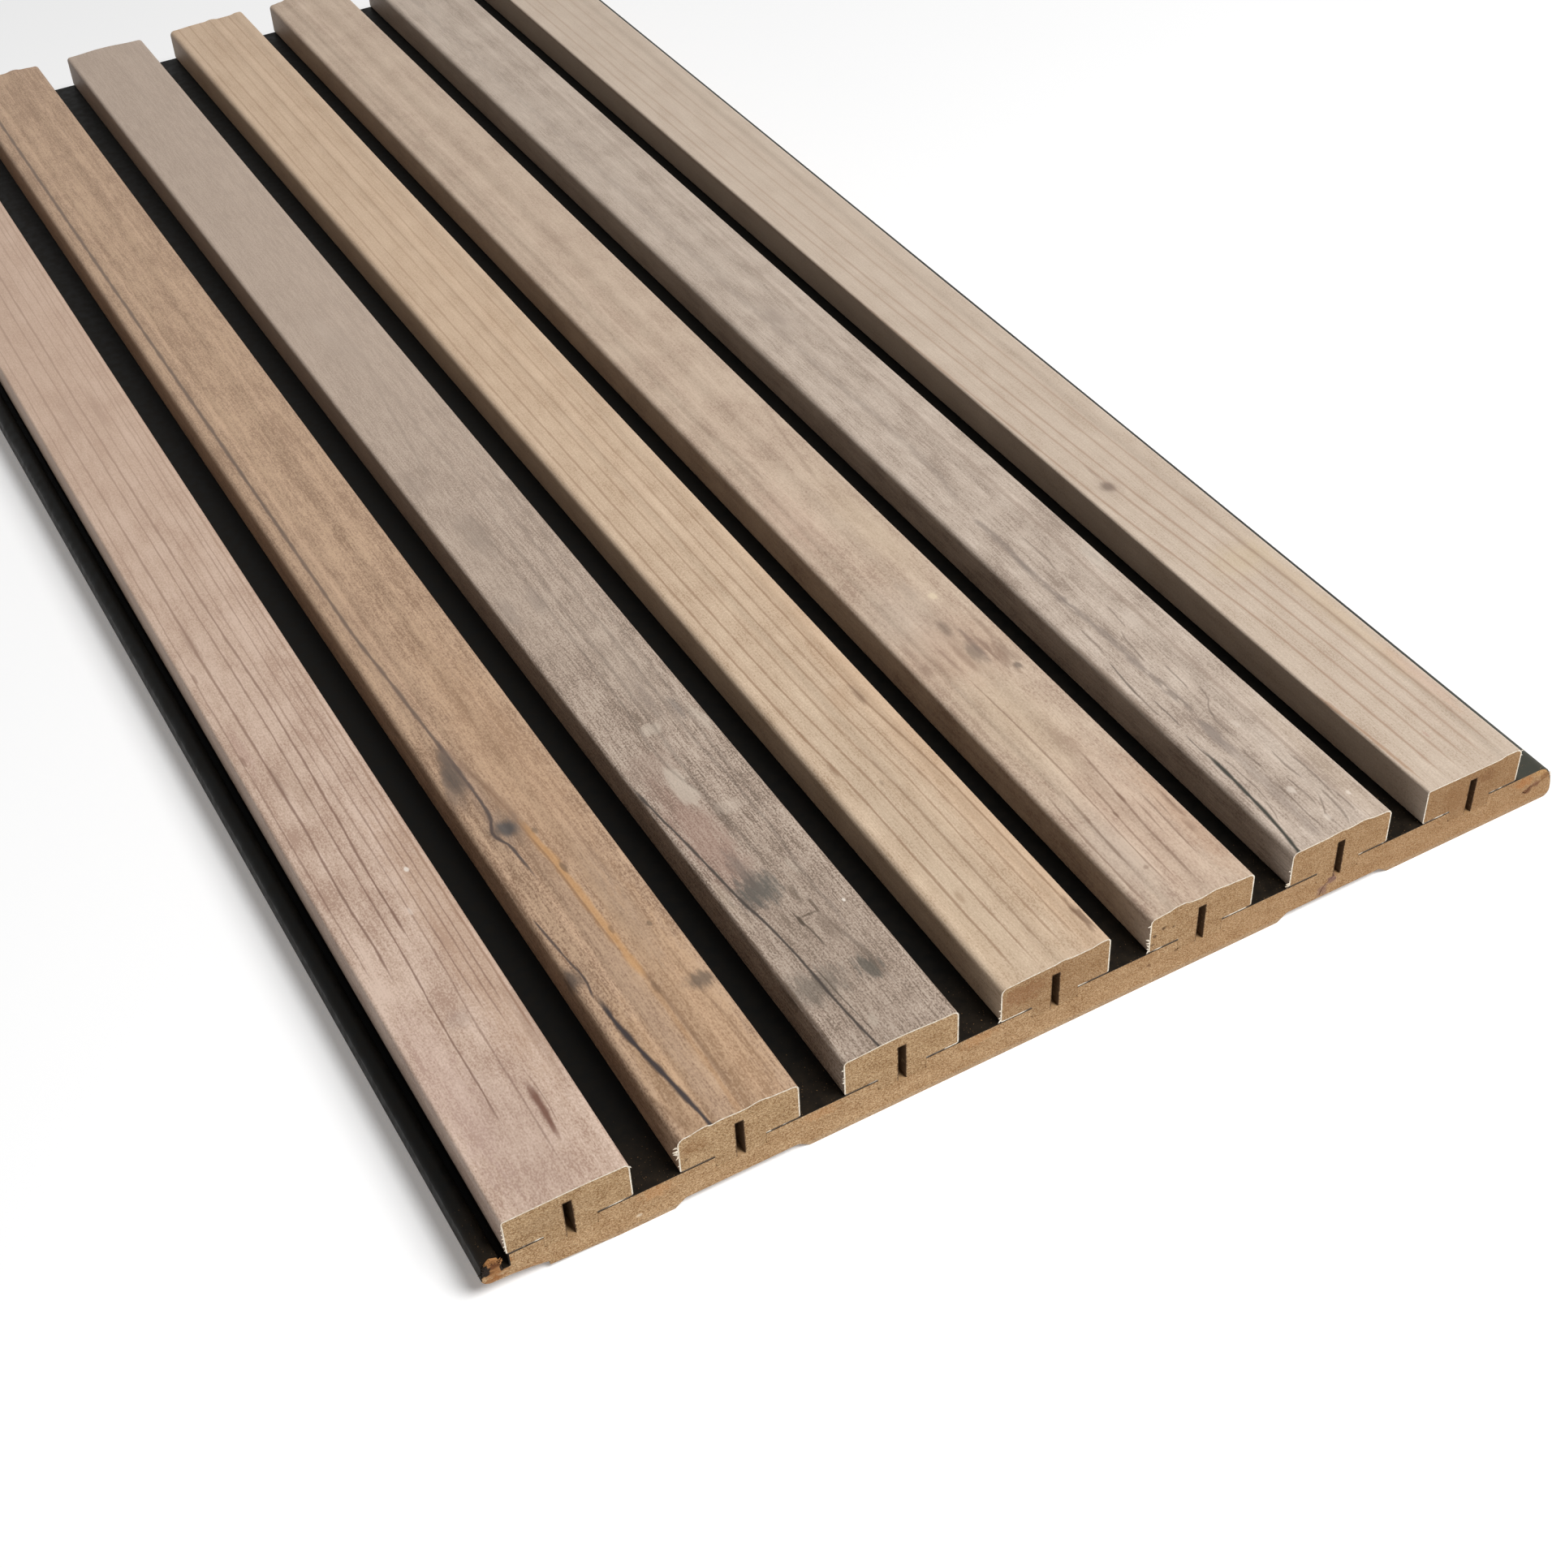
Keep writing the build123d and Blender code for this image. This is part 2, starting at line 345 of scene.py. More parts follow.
def film_section(number, inset):
    """The section of a slat's film, from its edge at the tongue's left round to the tongue's right: a run
    under the foot, a foot arc, the side, a top arc, the crest, and the same again downwards. The inset
    draws all of it in."""
    left_radius, right_radius, ridges = slat_tops[number]
    middle = slat_width / 2
    side, top, round_foot = slat_width - inset, slat_height - inset, foot_radius - inset
    across = np.linspace(left_radius, slat_width - right_radius, crest_points)
    rise = crest((across - left_radius) / (slat_width - left_radius - right_radius), ridges)
    left_top, right_top = slat_height + rise[0], slat_height + rise[-1]
    runs = [
        np.linspace((middle - tongue_width / 2, inset), (foot_radius, inset), run_points),
        arc(foot_radius, foot_radius, round_foot, 270, 180, foot_points),
        np.linspace((inset, foot_radius), (inset, left_top - left_radius), side_points),
        arc(left_radius, left_top - left_radius, left_radius - inset, 180, 90, corner_points),
        np.stack([across, top + rise], 1),
        arc(slat_width - right_radius, right_top - right_radius, right_radius - inset, 90, 0, corner_points),
        np.linspace((side, right_top - right_radius), (side, foot_radius), side_points),
        arc(slat_width - foot_radius, foot_radius, round_foot, 0, -90, foot_points),
        np.linspace((slat_width - foot_radius, inset), (middle + tongue_width / 2, inset), run_points),
    ]
    return np.concatenate([runs[0]] + [run[1:] for run in runs[1:]])


for number in SLATS:
    print(f"slat {number}: {len(film_section(number, 0))} points round its film")

# %% [markdown]
# The film is also a little uneven: the wrapping rollers leave long shallow waves, and the embossing that
# follows the printed grain leaves fine furrows. Both are far too slight to draw in the solid model. A
# lattice of random numbers, smoothly blended, gives them, with cells that are long along the grain and
# narrow across.

# %% Waves and furrows of the film
lattice_size = 64
lattice_start = 8
wave_height, wave_width, wave_length = 0.05, 7.0, 90.0
furrow_depth, furrow_width, furrow_length = 0.022, 0.9, 35.0
calm_end = 12.0
print(f"waves up to {wave_height} mm and furrows up to {furrow_depth} mm")


def lattice_noise(across, along, cell_across, cell_along, seed):
    """Smooth noise from -1 to 1: random values at lattice points, and 3 t^2 - 2 t^3 to blend over a cell."""
    values = np.random.default_rng(seed).uniform(-1, 1, (lattice_size, lattice_size))
    a, b = across / cell_across + lattice_start, along / cell_along + lattice_start
    i, j = np.floor(a).astype(int), np.floor(b).astype(int)
    s, t = a - i, b - j
    s, t = s * s * (3 - 2 * s), t * t * (3 - 2 * t)

    def corner(right, up):
        return values[(i + right) % lattice_size, (j + up) % lattice_size]

    near = corner(0, 0) * (1 - s) + corner(1, 0) * s
    far = corner(0, 1) * (1 - s) + corner(1, 1) * s
    return near * (1 - t) + far * t


def film_relief(unrolled, along, number):
    """How far the film stands off its plain section: waves plus furrows, and nothing at the two ends."""
    waves = wave_height * lattice_noise(unrolled, along, wave_width, wave_length, number)
    furrows = furrow_depth * lattice_noise(unrolled, along, furrow_width, furrow_length, number + 20)
    ends = np.clip(np.minimum(along, panel_length - along) / calm_end, 0, 1)
    return (waves + furrows) * ends


# %% [markdown]
# A film's mesh is a grid: its columns go round the closed loop of the section, out along the outside and
# back along the inside, and its rows go along the panel. Both ends are closed by a strip of faces between
# outside and inside, and these get a second material, because a sawn film shows its pale paper core there.
# The UV map is the film laid flat, in millimetres: u runs across from the slat's left side, v along from
# the sawn end.

# %% Make a film
row_step = 4.0
near_cut = [0, 0.4, 0.9, 1.6, 2.6]


def unrolled_distance(section, number):
    """Distance round the section at each of its points, counted so that it is the plain distance across
    where the crest begins: the lengths between neighbours added up, less their sum at that point."""
    distance = np.concatenate([[0], np.cumsum(np.hypot(*np.diff(section, axis=0).T))])
    left_radius = slat_tops[number][0]
    upper = section[:, 1] > slat_height / 2
    crest_start = np.flatnonzero(upper & np.isclose(section[:, 0], left_radius, atol=1e-6))[0]
    return distance - distance[crest_start] + left_radius


def mesh_object(name, points, quads, sharp_angle=40.0):
    """A mesh object from an array of points and one of quads, shaded smooth below a sharp angle."""
    mesh = bpy.data.meshes.new(name)
    mesh.vertices.add(len(points))
    mesh.vertices.foreach_set("co", np.ascontiguousarray(points, np.float32).ravel())
    mesh.loops.add(quads.size)
    mesh.loops.foreach_set("vertex_index", np.ascontiguousarray(quads, np.int32).ravel())
    mesh.polygons.add(len(quads))
    mesh.polygons.foreach_set("loop_start", np.arange(0, quads.size, 4, dtype=np.int32))
    mesh.polygons.foreach_set("use_smooth", np.ones(len(quads), bool))
    mesh.update(calc_edges=True)
    mesh.set_sharp_from_angle(angle=math.radians(sharp_angle))
    made = bpy.data.objects.new(name, mesh)
    scene.collection.objects.link(made)
    return made


def make_film(number):
    """A closed film: on each row the section's loop, its outside moved along its normal by the relief."""
    outside, inside = film_section(number, 0), film_section(number, film_thickness)
    rows = np.concatenate([near_cut, np.arange(row_step, panel_length, row_step), [panel_length]])
    across, along = np.meshgrid(unrolled_distance(outside, number), rows)
    tangent = np.gradient(outside, axis=0)
    normal = np.stack([-tangent[:, 1], tangent[:, 0]], 1) / np.hypot(*tangent.T)[:, None]
    relief = film_relief(across, along, number) * (outside[:, 1] > foot_radius)
    outer = outside + normal * relief[..., None]
    inner = np.broadcast_to(inside[::-1], outer.shape)
    loop = np.concatenate([outer, inner], 1)
    there_and_back = np.concatenate([across, across[:, ::-1]], 1)
    laid_flat = np.stack([there_and_back, np.concatenate([along, along], 1)], -1)
    depth = np.broadcast_to(sawn_end + rows[:, None], loop.shape[:2])
    points = np.stack([left_sides[number] + loop[..., 0], depth, foot_height + loop[..., 1]], -1)

    index = np.arange(depth.size).reshape(depth.shape)
    beside = np.roll(index, -1, axis=1)
    walls = np.stack([index[:-1], beside[:-1], beside[1:], index[1:]], -1).reshape(-1, 4)
    columns = len(outside)
    out, back = index[:, :columns], index[:, :columns - 1:-1]
    near = np.stack([out[0, :-1], back[0, :-1], back[0, 1:], out[0, 1:]], -1)
    far = np.stack([out[-1, :-1], out[-1, 1:], back[-1, 1:], back[-1, :-1]], -1)
    quads = np.concatenate([walls, near, far])
    film = mesh_object(f"slat_{number}_decor", points.reshape(-1, 3) * MM, quads)
    film.data.uv_layers.new(name="laid_flat")
    corners = laid_flat.reshape(-1, 2)[quads].astype(np.float32)
    film.data.uv_layers["laid_flat"].data.foreach_set("uv", corners.ravel())
    finishes = np.repeat([0, 1], [len(walls), len(near) + len(far)]).astype(np.int32)
    film.data.polygons.foreach_set("material_index", finishes)
    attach(film, "root")
    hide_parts(f"slat_{number}_wrap")
    return film


# %% Make the seven films
films = {number: make_film(number) for number in SLATS}
for number, film in films.items():
    print(film.name, len(film.data.polygons), "faces", [round(x / MM, 2) for x in film.dimensions])

# %% [markdown]
# ## The printed wood
#
# The decor is a print of old, weathered boards. A printer builds such a print up from a ground tone,
# streaks that run with the grain, and single drawings on top: growth lines, cracks and knots. The finishes
# are built up in the same order. Every drawing works on the film laid flat, in millimetres, through its
# own UV map. First comes the ground: four noises with cells of different length and width make fine
# streaks, broad bands, cloudy patches and open pores, and their sum chooses between a dark, a middle and a
# pale tone.

# %% Ground tone of weathered wood
all_dark, all_middle, all_pale = 0.1, 0.5, 0.9


def stretched_noise(pen, flat, cell_across, cell_along, seed, detail):
    """Noise on the laid-flat film with cells of the given width and length in millimetres. The seed moves
    the film through the noise, so that another seed gives another pattern."""
    scale = (1 / cell_across, 1 / cell_along, 1.0)
    cells = {"Vector": flat, "Location": pen.vector(0.0, 0.0, seed), "Scale": scale}
    return pen.noise(pen.node("Mapping", cells).outputs[0], detail=detail)


def swing(pen, noise, amount):
    """A noise about 0.5 as a swing about 0: (noise - 0.5) times amount."""
    return pen.times(pen.minus(noise, 0.5), amount)


def three_tones(pen, tone, given):
    """The three colours of a group, blended one into the next as the tone rises."""
    lower = pen.mix(pen.ramp(tone, all_dark, all_middle), given["Dark"], given["Middle"])
    return pen.mix(pen.ramp(tone, all_middle, all_pale), lower, given["Pale"])


def make_weathered_wood():
    """The tone is the middle one plus the swings of four noises, each listed with the width and the length
    of its cells in millimetres, its detail and its weight."""
    pen, given, result = new_group(
        "weathered_wood",
        {"Flat": (0.0, 0.0, 0.0), "Seed": 0.0, "Fine": 1.0, "Broad": 1.0, "Cloudy": 1.0, "Pores": 1.0,
         "Pale": paint(205, 182, 165), "Middle": paint(189, 164, 147), "Dark": paint(160, 132, 115)},
        {"Color": "Color", "Streaks": "Float"},
    )
    layers = {
        "Fine": (0.45, 7.0, 2.0, 0.8),
        "Broad": (2.2, 50.0, 1.0, 0.6),
        "Cloudy": (8.0, 15.0, 3.0, 0.9),
        "Pores": (0.4, 0.65, 2.0, 1.3),
    }
    tone = all_middle
    for order, (name, (wide, long, detail, weight)) in enumerate(layers.items()):
        seed = pen.add(given["Seed"], 10.0 * order)
        noise = stretched_noise(pen, given["Flat"], wide, long, seed, detail)
        tone = pen.add(tone, swing(pen, noise, pen.times(given[name], weight)))
        if name == "Fine":
            pen.link(noise, result["Streaks"])
    pen.link(three_tones(pen, tone, given), result["Color"])
    return pen.tree


weathered_wood = make_weathered_wood()
print(weathered_wood.name, "has", len(weathered_wood.nodes), "nodes")

# %% [markdown]
# No drawn line on old wood is even. Four noises, shared by all the marks of a slat, take care of that: one
# makes lines stray from their paths, one swells and thins them, one wears gaps into them, and one frays
# the rims of stains into the streaks around. They are shared because a noise costs far more time than the
# rest of a mark, and as marks lie in different places they still look different.

# %% Unevenness, as a node group
def make_unevenness():
    """Stray and fray swing about 0, and swell and wear are noises from 0 to 1."""
    pen, given, result = new_group(
        "unevenness", {"Flat": (0.0, 0.0, 0.0), "Seed": 0.0},
        {"Stray": "Float", "Swell": "Float", "Wear": "Float", "Fray": "Float"},
    )
    flat, seed = given["Flat"], given["Seed"]
    stray = swing(pen, stretched_noise(pen, flat, 5.0, 9.0, pen.add(seed, 1.0), 3.0), 2.4)
    swell = stretched_noise(pen, flat, 4.0, 6.0, pen.add(seed, 2.5), 1.0)
    wear = stretched_noise(pen, flat, 1.0, 4.0, pen.add(seed, 4.0), 1.0)
    fray = swing(pen, stretched_noise(pen, flat, 1.1, 4.5, pen.add(seed, 5.5), 3.0), 3.0)
    for name, value in {"Stray": stray, "Swell": swell, "Wear": wear, "Fray": fray}.items():
        pen.link(value, result[name])
    return pen.tree


unevenness = make_unevenness()
print(unevenness.name, "has", len(unevenness.nodes), "nodes")

# %% [markdown]
# A growth line or a crack is a path along the slat, and its mask is one where a point lies nearer to the
# path than half its width. It tapers and fades towards both of its ends. The path itself is drawn in the
# material with a curve node, because every line has its own.

# %% Grain line
thinnest, thickest = 0.38, 0.72
width_at_ends = 0.3
full_within, gone_beyond = 0.3, 1.5
most_wear, wear_blend = 0.75, 0.12


def make_grain_line():
    """The mask is a body, one near the path and 0 well past half the width, times the fading at both ends,
    times what the wear has left. The half width follows the swell and shrinks towards the ends."""
    pen, given, result = new_group(
        "grain_line",
        {"Across": 0.0, "Along": 0.0, "Place": 0.0, "Width": 0.5, "Wander": 0.2, "Start": 0.0, "End": 600.0,
         "Fade": 10.0, "Worn": 0.3, "Strength": 1.0, "Stray": 0.0, "Swell": 0.5, "Wear": 0.5},
        {"Mask": "Float"},
    )
    across, along = given["Across"], given["Along"]
    place = pen.add(given["Place"], pen.times(given["Stray"], given["Wander"]))
    gap = pen.math("ABSOLUTE", pen.minus(across, place))
    begun = pen.ramp(along, given["Start"], pen.add(given["Start"], given["Fade"]))
    ending = pen.ramp(along, pen.minus(given["End"], given["Fade"]), given["End"], 1.0, 0.0)
    present = pen.times(begun, ending)
    half = pen.times(given["Width"], pen.ramp(given["Swell"], 0.25, 0.75, thinnest, thickest))
    half = pen.times(half, pen.add(width_at_ends, pen.times(present, 1.0 - width_at_ends)))
    body = pen.ramp(pen.math("DIVIDE", gap, half), full_within, gone_beyond, 1.0, 0.0)
    limit = pen.times(given["Worn"], most_wear)
    low, high = pen.minus(limit, wear_blend), pen.add(limit, wear_blend)
    kept = pen.ramp(given["Wear"], low, high, 0.0, given["Strength"])
    pen.link(pen.times(pen.times(body, present), kept), result["Mask"])
    return pen.tree


grain_line = make_grain_line()
print(grain_line.name, "has", len(grain_line.nodes), "nodes")

# %% [markdown]
# Knots, stains, pale flecks and saw marks are all patches with a centre, a length and a width. The
# distance from the centre, counted in half sizes, is one on the patch's rim, and the shared fray shifts
# the rim.

# %% Patch
def make_patch():
    """The mask falls from the strength to 0 across the rim, where the distance in half sizes is one."""
    pen, given, result = new_group(
        "patch",
        {"Flat": (0.0, 0.0, 0.0), "Centre": (0.0, 0.0, 0.0), "Half size": (1.0, 1.0, 1.0), "Soft": 0.5,
         "Frayed": 0.5, "Strength": 1.0, "Fray": 0.0},
        {"Mask": "Float"},
    )
    off = pen.node("VectorMath", {0: given["Flat"], 1: given["Centre"]}, operation="SUBTRACT").outputs[0]
    share = pen.node("VectorMath", {0: off, 1: given["Half size"]}, operation="DIVIDE").outputs[0]
    radius = pen.node("VectorMath", {0: share}, operation="LENGTH").outputs["Value"]
    frayed = pen.add(radius, pen.times(given["Fray"], given["Frayed"]))
    inner, outer = pen.minus(1.0, given["Soft"]), pen.add(1.0, given["Soft"])
    pen.link(pen.ramp(frayed, inner, outer, given["Strength"], 0.0), result["Mask"])
    return pen.tree


patch = make_patch()
print(patch.name, "has", len(patch.nodes), "nodes")

# %% [markdown]
# The drawings of each slat are written down as short lists. A `line` gives its path as pairs of distance
# along and distance across, in millimetres, and a `stain` its centre and its half sizes. `shade` is the
# colour that the mark brings, and `strength` how much of it. Where a line still runs at the edge of what
# the photograph shows, it is simply carried on to the panel's far end.

# %% How marks are written down
FAR = round(panel_length)
end_slack = 0.01
curve_span, curve_zero = 40.0, 0.1
pale_from, pale_to = 60.0, 380.0
ground_seed, uneven_seed = 3.7, 7.3
emboss_depth = 0.1 * MM
print("a line that runs on ends", FAR, "mm from the cut")


def line(path, width, strength, shade=None, wander=0.2, fade=12.0, worn=0.3):
    """A line that strays from its path by about `wander`, tapers over `fade`, and has gaps by `worn`."""
    return {"kind": "line", "path": path, "width": width, "strength": strength, "shade": shade,
            "wander": wander, "fade": fade, "worn": worn}


def stain(centre, half, strength, shade=None, soft=0.5, frayed=0.5):
    """A patch whose rim blends over the share `soft` of its size and is shifted by `frayed` times a noise."""
    return {"kind": "stain", "centre": centre, "half": half, "strength": strength, "shade": shade,
            "soft": soft, "frayed": frayed}


def draw_stain(pen, flat, fray, mark, centre, half):
    """The mask of one stain, times its strength, with centre and half sizes in the order of flat's axes."""
    return pen.group(patch, {
        "Flat": flat, "Centre": (*centre, 0.0), "Half size": (*half, 1.0), "Soft": mark["soft"],
        "Frayed": mark["frayed"], "Strength": mark["strength"], "Fray": fray,
    })["Mask"]


def draw_line(pen, across, along, uneven, mark):
    """The mask of one line, times its strength. Its path is a curve node, which turns a share of the
    panel's length into a share of the curve's span across."""
    path = mark["path"]
    curve = pen.node("FloatCurve", {"Value": pen.math("DIVIDE", along, panel_length)})
    points = curve.mapping.curves[0].points
    for _ in path[2:]:
        points.new(0.5, 0.5)
    for point, (at, side) in zip(points, path):
        point.location = (at / panel_length, side / curve_span + curve_zero)
        point.handle_type = "AUTO"
    curve.mapping.update()
    place = pen.times(pen.minus(curve.outputs[0], curve_zero), curve_span)
    past_end = 2 * mark["fade"] if path[-1][0] >= FAR else end_slack
    return pen.group(grain_line, {
        "Across": across, "Along": along, "Place": place, "Width": mark["width"], "Wander": mark["wander"],
        "Start": path[0][0] - end_slack, "End": path[-1][0] + past_end, "Fade": mark["fade"],
        "Worn": mark["worn"], "Strength": mark["strength"], "Stray": uneven["Stray"],
        "Swell": uneven["Swell"], "Wear": uneven["Wear"],
    })["Mask"]


def decor_material(number, ground, shade, far_tone, marks):
    """A slat's decor: the ground, its marks one after another, then a paler tone that comes in with
    distance along the slat. The embossing follows the ground's fine streaks."""
    material, pen, shader = new_material(f"decor_{number}", roughness=0.55, specular=0.35)
    flat = pen.node("UVMap", uv_map="laid_flat").outputs[0]
    across, along = pen.split(flat)[:2]
    wood = pen.group(weathered_wood, {"Flat": flat, "Seed": ground_seed * number} | ground)
    uneven = pen.group(unevenness, {"Flat": flat, "Seed": uneven_seed * number})
    color = wood["Color"]
    for mark in marks:
        if mark["kind"] == "stain":
            mask = draw_stain(pen, flat, uneven["Fray"], mark, mark["centre"][::-1], mark["half"][::-1])
        else:
            mask = draw_line(pen, across, along, uneven, mark)
        color = pen.mix(mask, color, paint(*(mark["shade"] or shade)))
    tone, amount = far_tone
    color = pen.mix(pen.ramp(along, pale_from, pale_to, 0.0, amount), color, paint(*tone))
    pen.link(color, shader["Base Color"])
    pen.link(bump(pen, wood["Streaks"], emboss_depth, 0.6), shader["Normal"])
    return material


decors = {}

# %% [markdown]
# Slat 1 is a pale pinkish beige. Its growth lines are thin and brown, most of them start some way in from
# the sawn end, and one short, spindle-shaped streak stands alone near it.

# %% Slat 1
decors[1] = decor_material(
    1, {"Pale": paint(208, 184, 167), "Middle": paint(190, 165, 147), "Dark": paint(164, 136, 119),
        "Cloudy": 1.4, "Pores": 1.3},
    shade=(108, 78, 64), far_tone=((197, 169, 148), 0.6), marks=[
        stain((20, 12), (22, 9), 0.25, (176, 152, 140)),
        stain((82, 26), (46, 6), 0.4, (180, 149, 124)),
        stain((40, 5), (26, 5), 0.22, (205, 178, 168)),
        stain((48, 29), (16, 1.6), 0.4, (140, 112, 94)),
        stain((57, 15.5), (3, 2.5), 0.3, (160, 142, 132)),
        stain((172, 4), (9, 1.4), 0.3, (166, 132, 124), soft=0.7),
        stain((150, 12), (9, 1.6), 0.3, (150, 124, 104), soft=0.7),
        line([(11, 20.3), (23, 20.9), (35, 20.7)], 1.6, 0.95, (106, 72, 58), wander=0.15, fade=8, worn=0.0),
        line([(16, 21.4), (22, 22.4), (33, 22.2), (39, 21.5)], 0.3, 0.5, wander=0.1, fade=5),
        line([(5, 18.1), (18, 18.2), (60, 18.4), (75, 19), (150, 18.8), (FAR, 19)], 0.4, 0.5),
        line([(20, 11.3), (60, 11.6), (85, 12.3), (125, 12.4), (180, 13), (240, 12.5), (FAR, 13)],
             0.45, 0.75, worn=0.2),
        line([(82, 15.6), (110, 15.4), (140, 16.1), (180, 16.6), (240, 15.8), (FAR, 16.5)],
             0.6, 0.85, worn=0.1),
        line([(72, 6.9), (85, 7.3), (105, 7), (140, 7.6), (200, 7.2), (FAR, 7.5)], 0.6, 0.8, worn=0.15),
        line([(75, 2.8), (95, 2.6), (150, 2.6), (FAR, 3)], 0.4, 0.6),
        line([(52, 21.6), (90, 21.6), (150, 21.8), (FAR, 22)], 0.4, 0.6),
        line([(45, 24.4), (100, 24.4), (150, 24.6), (FAR, 24.8)], 0.4, 0.55),
        line([(52, 26.3), (100, 26.3), (150, 26.2), (FAR, 26.5)], 0.4, 0.6),
        line([(38, 28.9), (100, 28.8), (150, 28.7), (FAR, 28.8)], 0.5, 0.6, (132, 98, 76)),
        stain((155, 7.7), (7, 0.9), 0.55, soft=0.6, frayed=0.2),
        stain((222, 7.0), (9, 1.0), 0.5, soft=0.6, frayed=0.2),
        stain((350, 20), (12, 1.2), 0.4, soft=0.6, frayed=0.2),
        stain((352, 11), (12, 1.2), 0.4, soft=0.6, frayed=0.2),
        stain((168, 3), (2.5, 0.5), 0.6, soft=0.4, frayed=0.2),
        stain((207, 3), (2.5, 0.5), 0.6, soft=0.4, frayed=0.2),
        stain((109, 24), (0.9, 0.6), 0.9, (226, 214, 202), soft=0.3, frayed=0.2),
        stain((95, 19.2), (1.2, 0.5), 0.6, (214, 196, 182), soft=0.3, frayed=0.2),
    ])

# %% [markdown]
# Slat 2 is the warmest and the darkest brown. It shows two long open cracks, an orange band between two
# growth rings, and a knot that the grain bends round.

# %% Slat 2
decors[2] = decor_material(
    2, {"Pale": paint(190, 160, 132), "Middle": paint(171, 142, 117), "Dark": paint(136, 108, 85),
        "Fine": 1.7, "Broad": 1.4, "Pores": 1.6},
    shade=(80, 58, 46), far_tone=((184, 155, 130), 0.3), marks=[
        stain((30, 22), (45, 7), 0.3, (187, 150, 112)),
        stain((60, 12), (70, 3), 0.35, (152, 126, 104)),
        stain((75, 22), (26, 3), 0.35, (150, 130, 112)),
        stain((15, 6), (25, 4), 0.3, (182, 146, 108)),
        stain((130, 20), (50, 9), 0.3, (181, 146, 114)),
        line([(0, 17.0), (15, 17.5), (35, 17.2), (50, 16.4), (58, 15.8)],
             1.1, 0.6, (122, 94, 70), worn=0.2),
        line([(-10, 15.4), (15, 16), (35, 16), (52, 15.6)], 1.2, 0.35, (176, 136, 96), wander=0.3),
        line([(44, 16.1), (50, 15.8), (65, 15.3), (90, 14.6), (105, 13.4), (112, 12.8)],
             1.9, 0.6, (190, 142, 88), wander=0.3, fade=6, worn=0.2),
        line([(50, 14.7), (65, 14.3), (90, 13.7), (105, 12.6), (120, 11.4), (140, 8)],
             0.5, 0.6, (126, 94, 68)),
        line([(100, 13.8), (110, 12.6), (122, 11.4), (136, 9), (146, 7.2)],
             1.8, 0.6, (132, 104, 82), wander=0.3),
        line([(0, 27.3), (15, 27), (28, 26.5), (38, 25.4), (60, 25.3)], 0.6, 0.45, (128, 100, 74)),
        line([(77, 24), (110, 23.4), (150, 22), (230, 21)], 0.8, 0.3, (134, 106, 84)),
        line([(85, 26), (120, 26.6), (200, 25), (FAR, 25)], 0.8, 0.25, (140, 110, 86)),
        line([(0, 4.2), (6, 2.6), (16, 0)], 1.4, 0.45, (120, 92, 66), fade=4),
        line([(118, 0.2), (126, 1.6), (136, 4.2), (148, 6.6)], 2.2, 0.5, (112, 92, 78), fade=8),
        stain((127, 7.3), (16, 2.6), 0.45, (130, 108, 92)),
        stain((128, 3.2), (7, 1.7), 0.5, (96, 82, 72), soft=0.7, frayed=0.4),
        stain((133, 5.0), (6, 2.4), 0.9, (80, 70, 63), soft=0.6, frayed=0.4),
        stain((140, 6.2), (5, 1.4), 0.85, (80, 69, 62), soft=0.6, frayed=0.4),
        stain((108.5, 8.6), (6, 4.2), 0.55, (118, 100, 86), soft=0.6),
        stain((108.6, 8.9), (2.9, 2.5), 0.95, (68, 64, 62), soft=0.6, frayed=0.3),
        stain((39, 27), (2.6, 3), 0.8, (92, 78, 66), soft=0.7, frayed=0.6),
        stain((55, 0.8), (3.2, 2.6), 0.85, (78, 66, 58), soft=0.7),
        stain((42, 16.6), (2, 0.6), 0.6, (112, 86, 64), soft=0.4),
        stain((64, 16.1), (1.6, 0.5), 0.6, (112, 86, 64), soft=0.4),
        stain((89, 15.4), (1.9, 0.7), 0.75, (106, 84, 64), soft=0.4),
        stain((104.5, 14.9), (1.4, 0.7), 0.6, (110, 92, 74), soft=0.4),
        stain((61, 24.7), (0.9, 0.6), 0.6, (98, 80, 62), soft=0.4),
        line([(85, 8.1), (95, 7.6), (103, 6.9), (106, 5.6), (108, 5.1), (111, 5.8), (114, 7), (118, 7.3),
              (140, 7), (150, 6.6), (180, 5.5), (200, 4.7), (230, 4.6), (FAR, 4.5)],
             0.95, 0.95, (66, 54, 50), wander=0.1, worn=0.05),
        line([(-20, 10), (0, 8.5), (8, 7.4), (20, 5.8), (32, 4.3), (40, 3.7), (50, 3.6)],
             1.35, 1.0, (50, 41, 40), wander=0.08, fade=9, worn=0.0),
        line([(45, 2.7), (49, 3.1), (53, 3.6), (60, 2.9), (70, 2), (79, 1.3)],
             0.55, 0.9, (64, 52, 48), wander=0.08, fade=4, worn=0.05),
        stain((205, 7), (60, 5), 0.25, (162, 134, 112)),
    ])

# %% [markdown]
# Slat 3 is a grey brown and the most weathered: dense dark streaks, worn pale blotches, dark stains, and
# one long crack that runs out over its left edge.

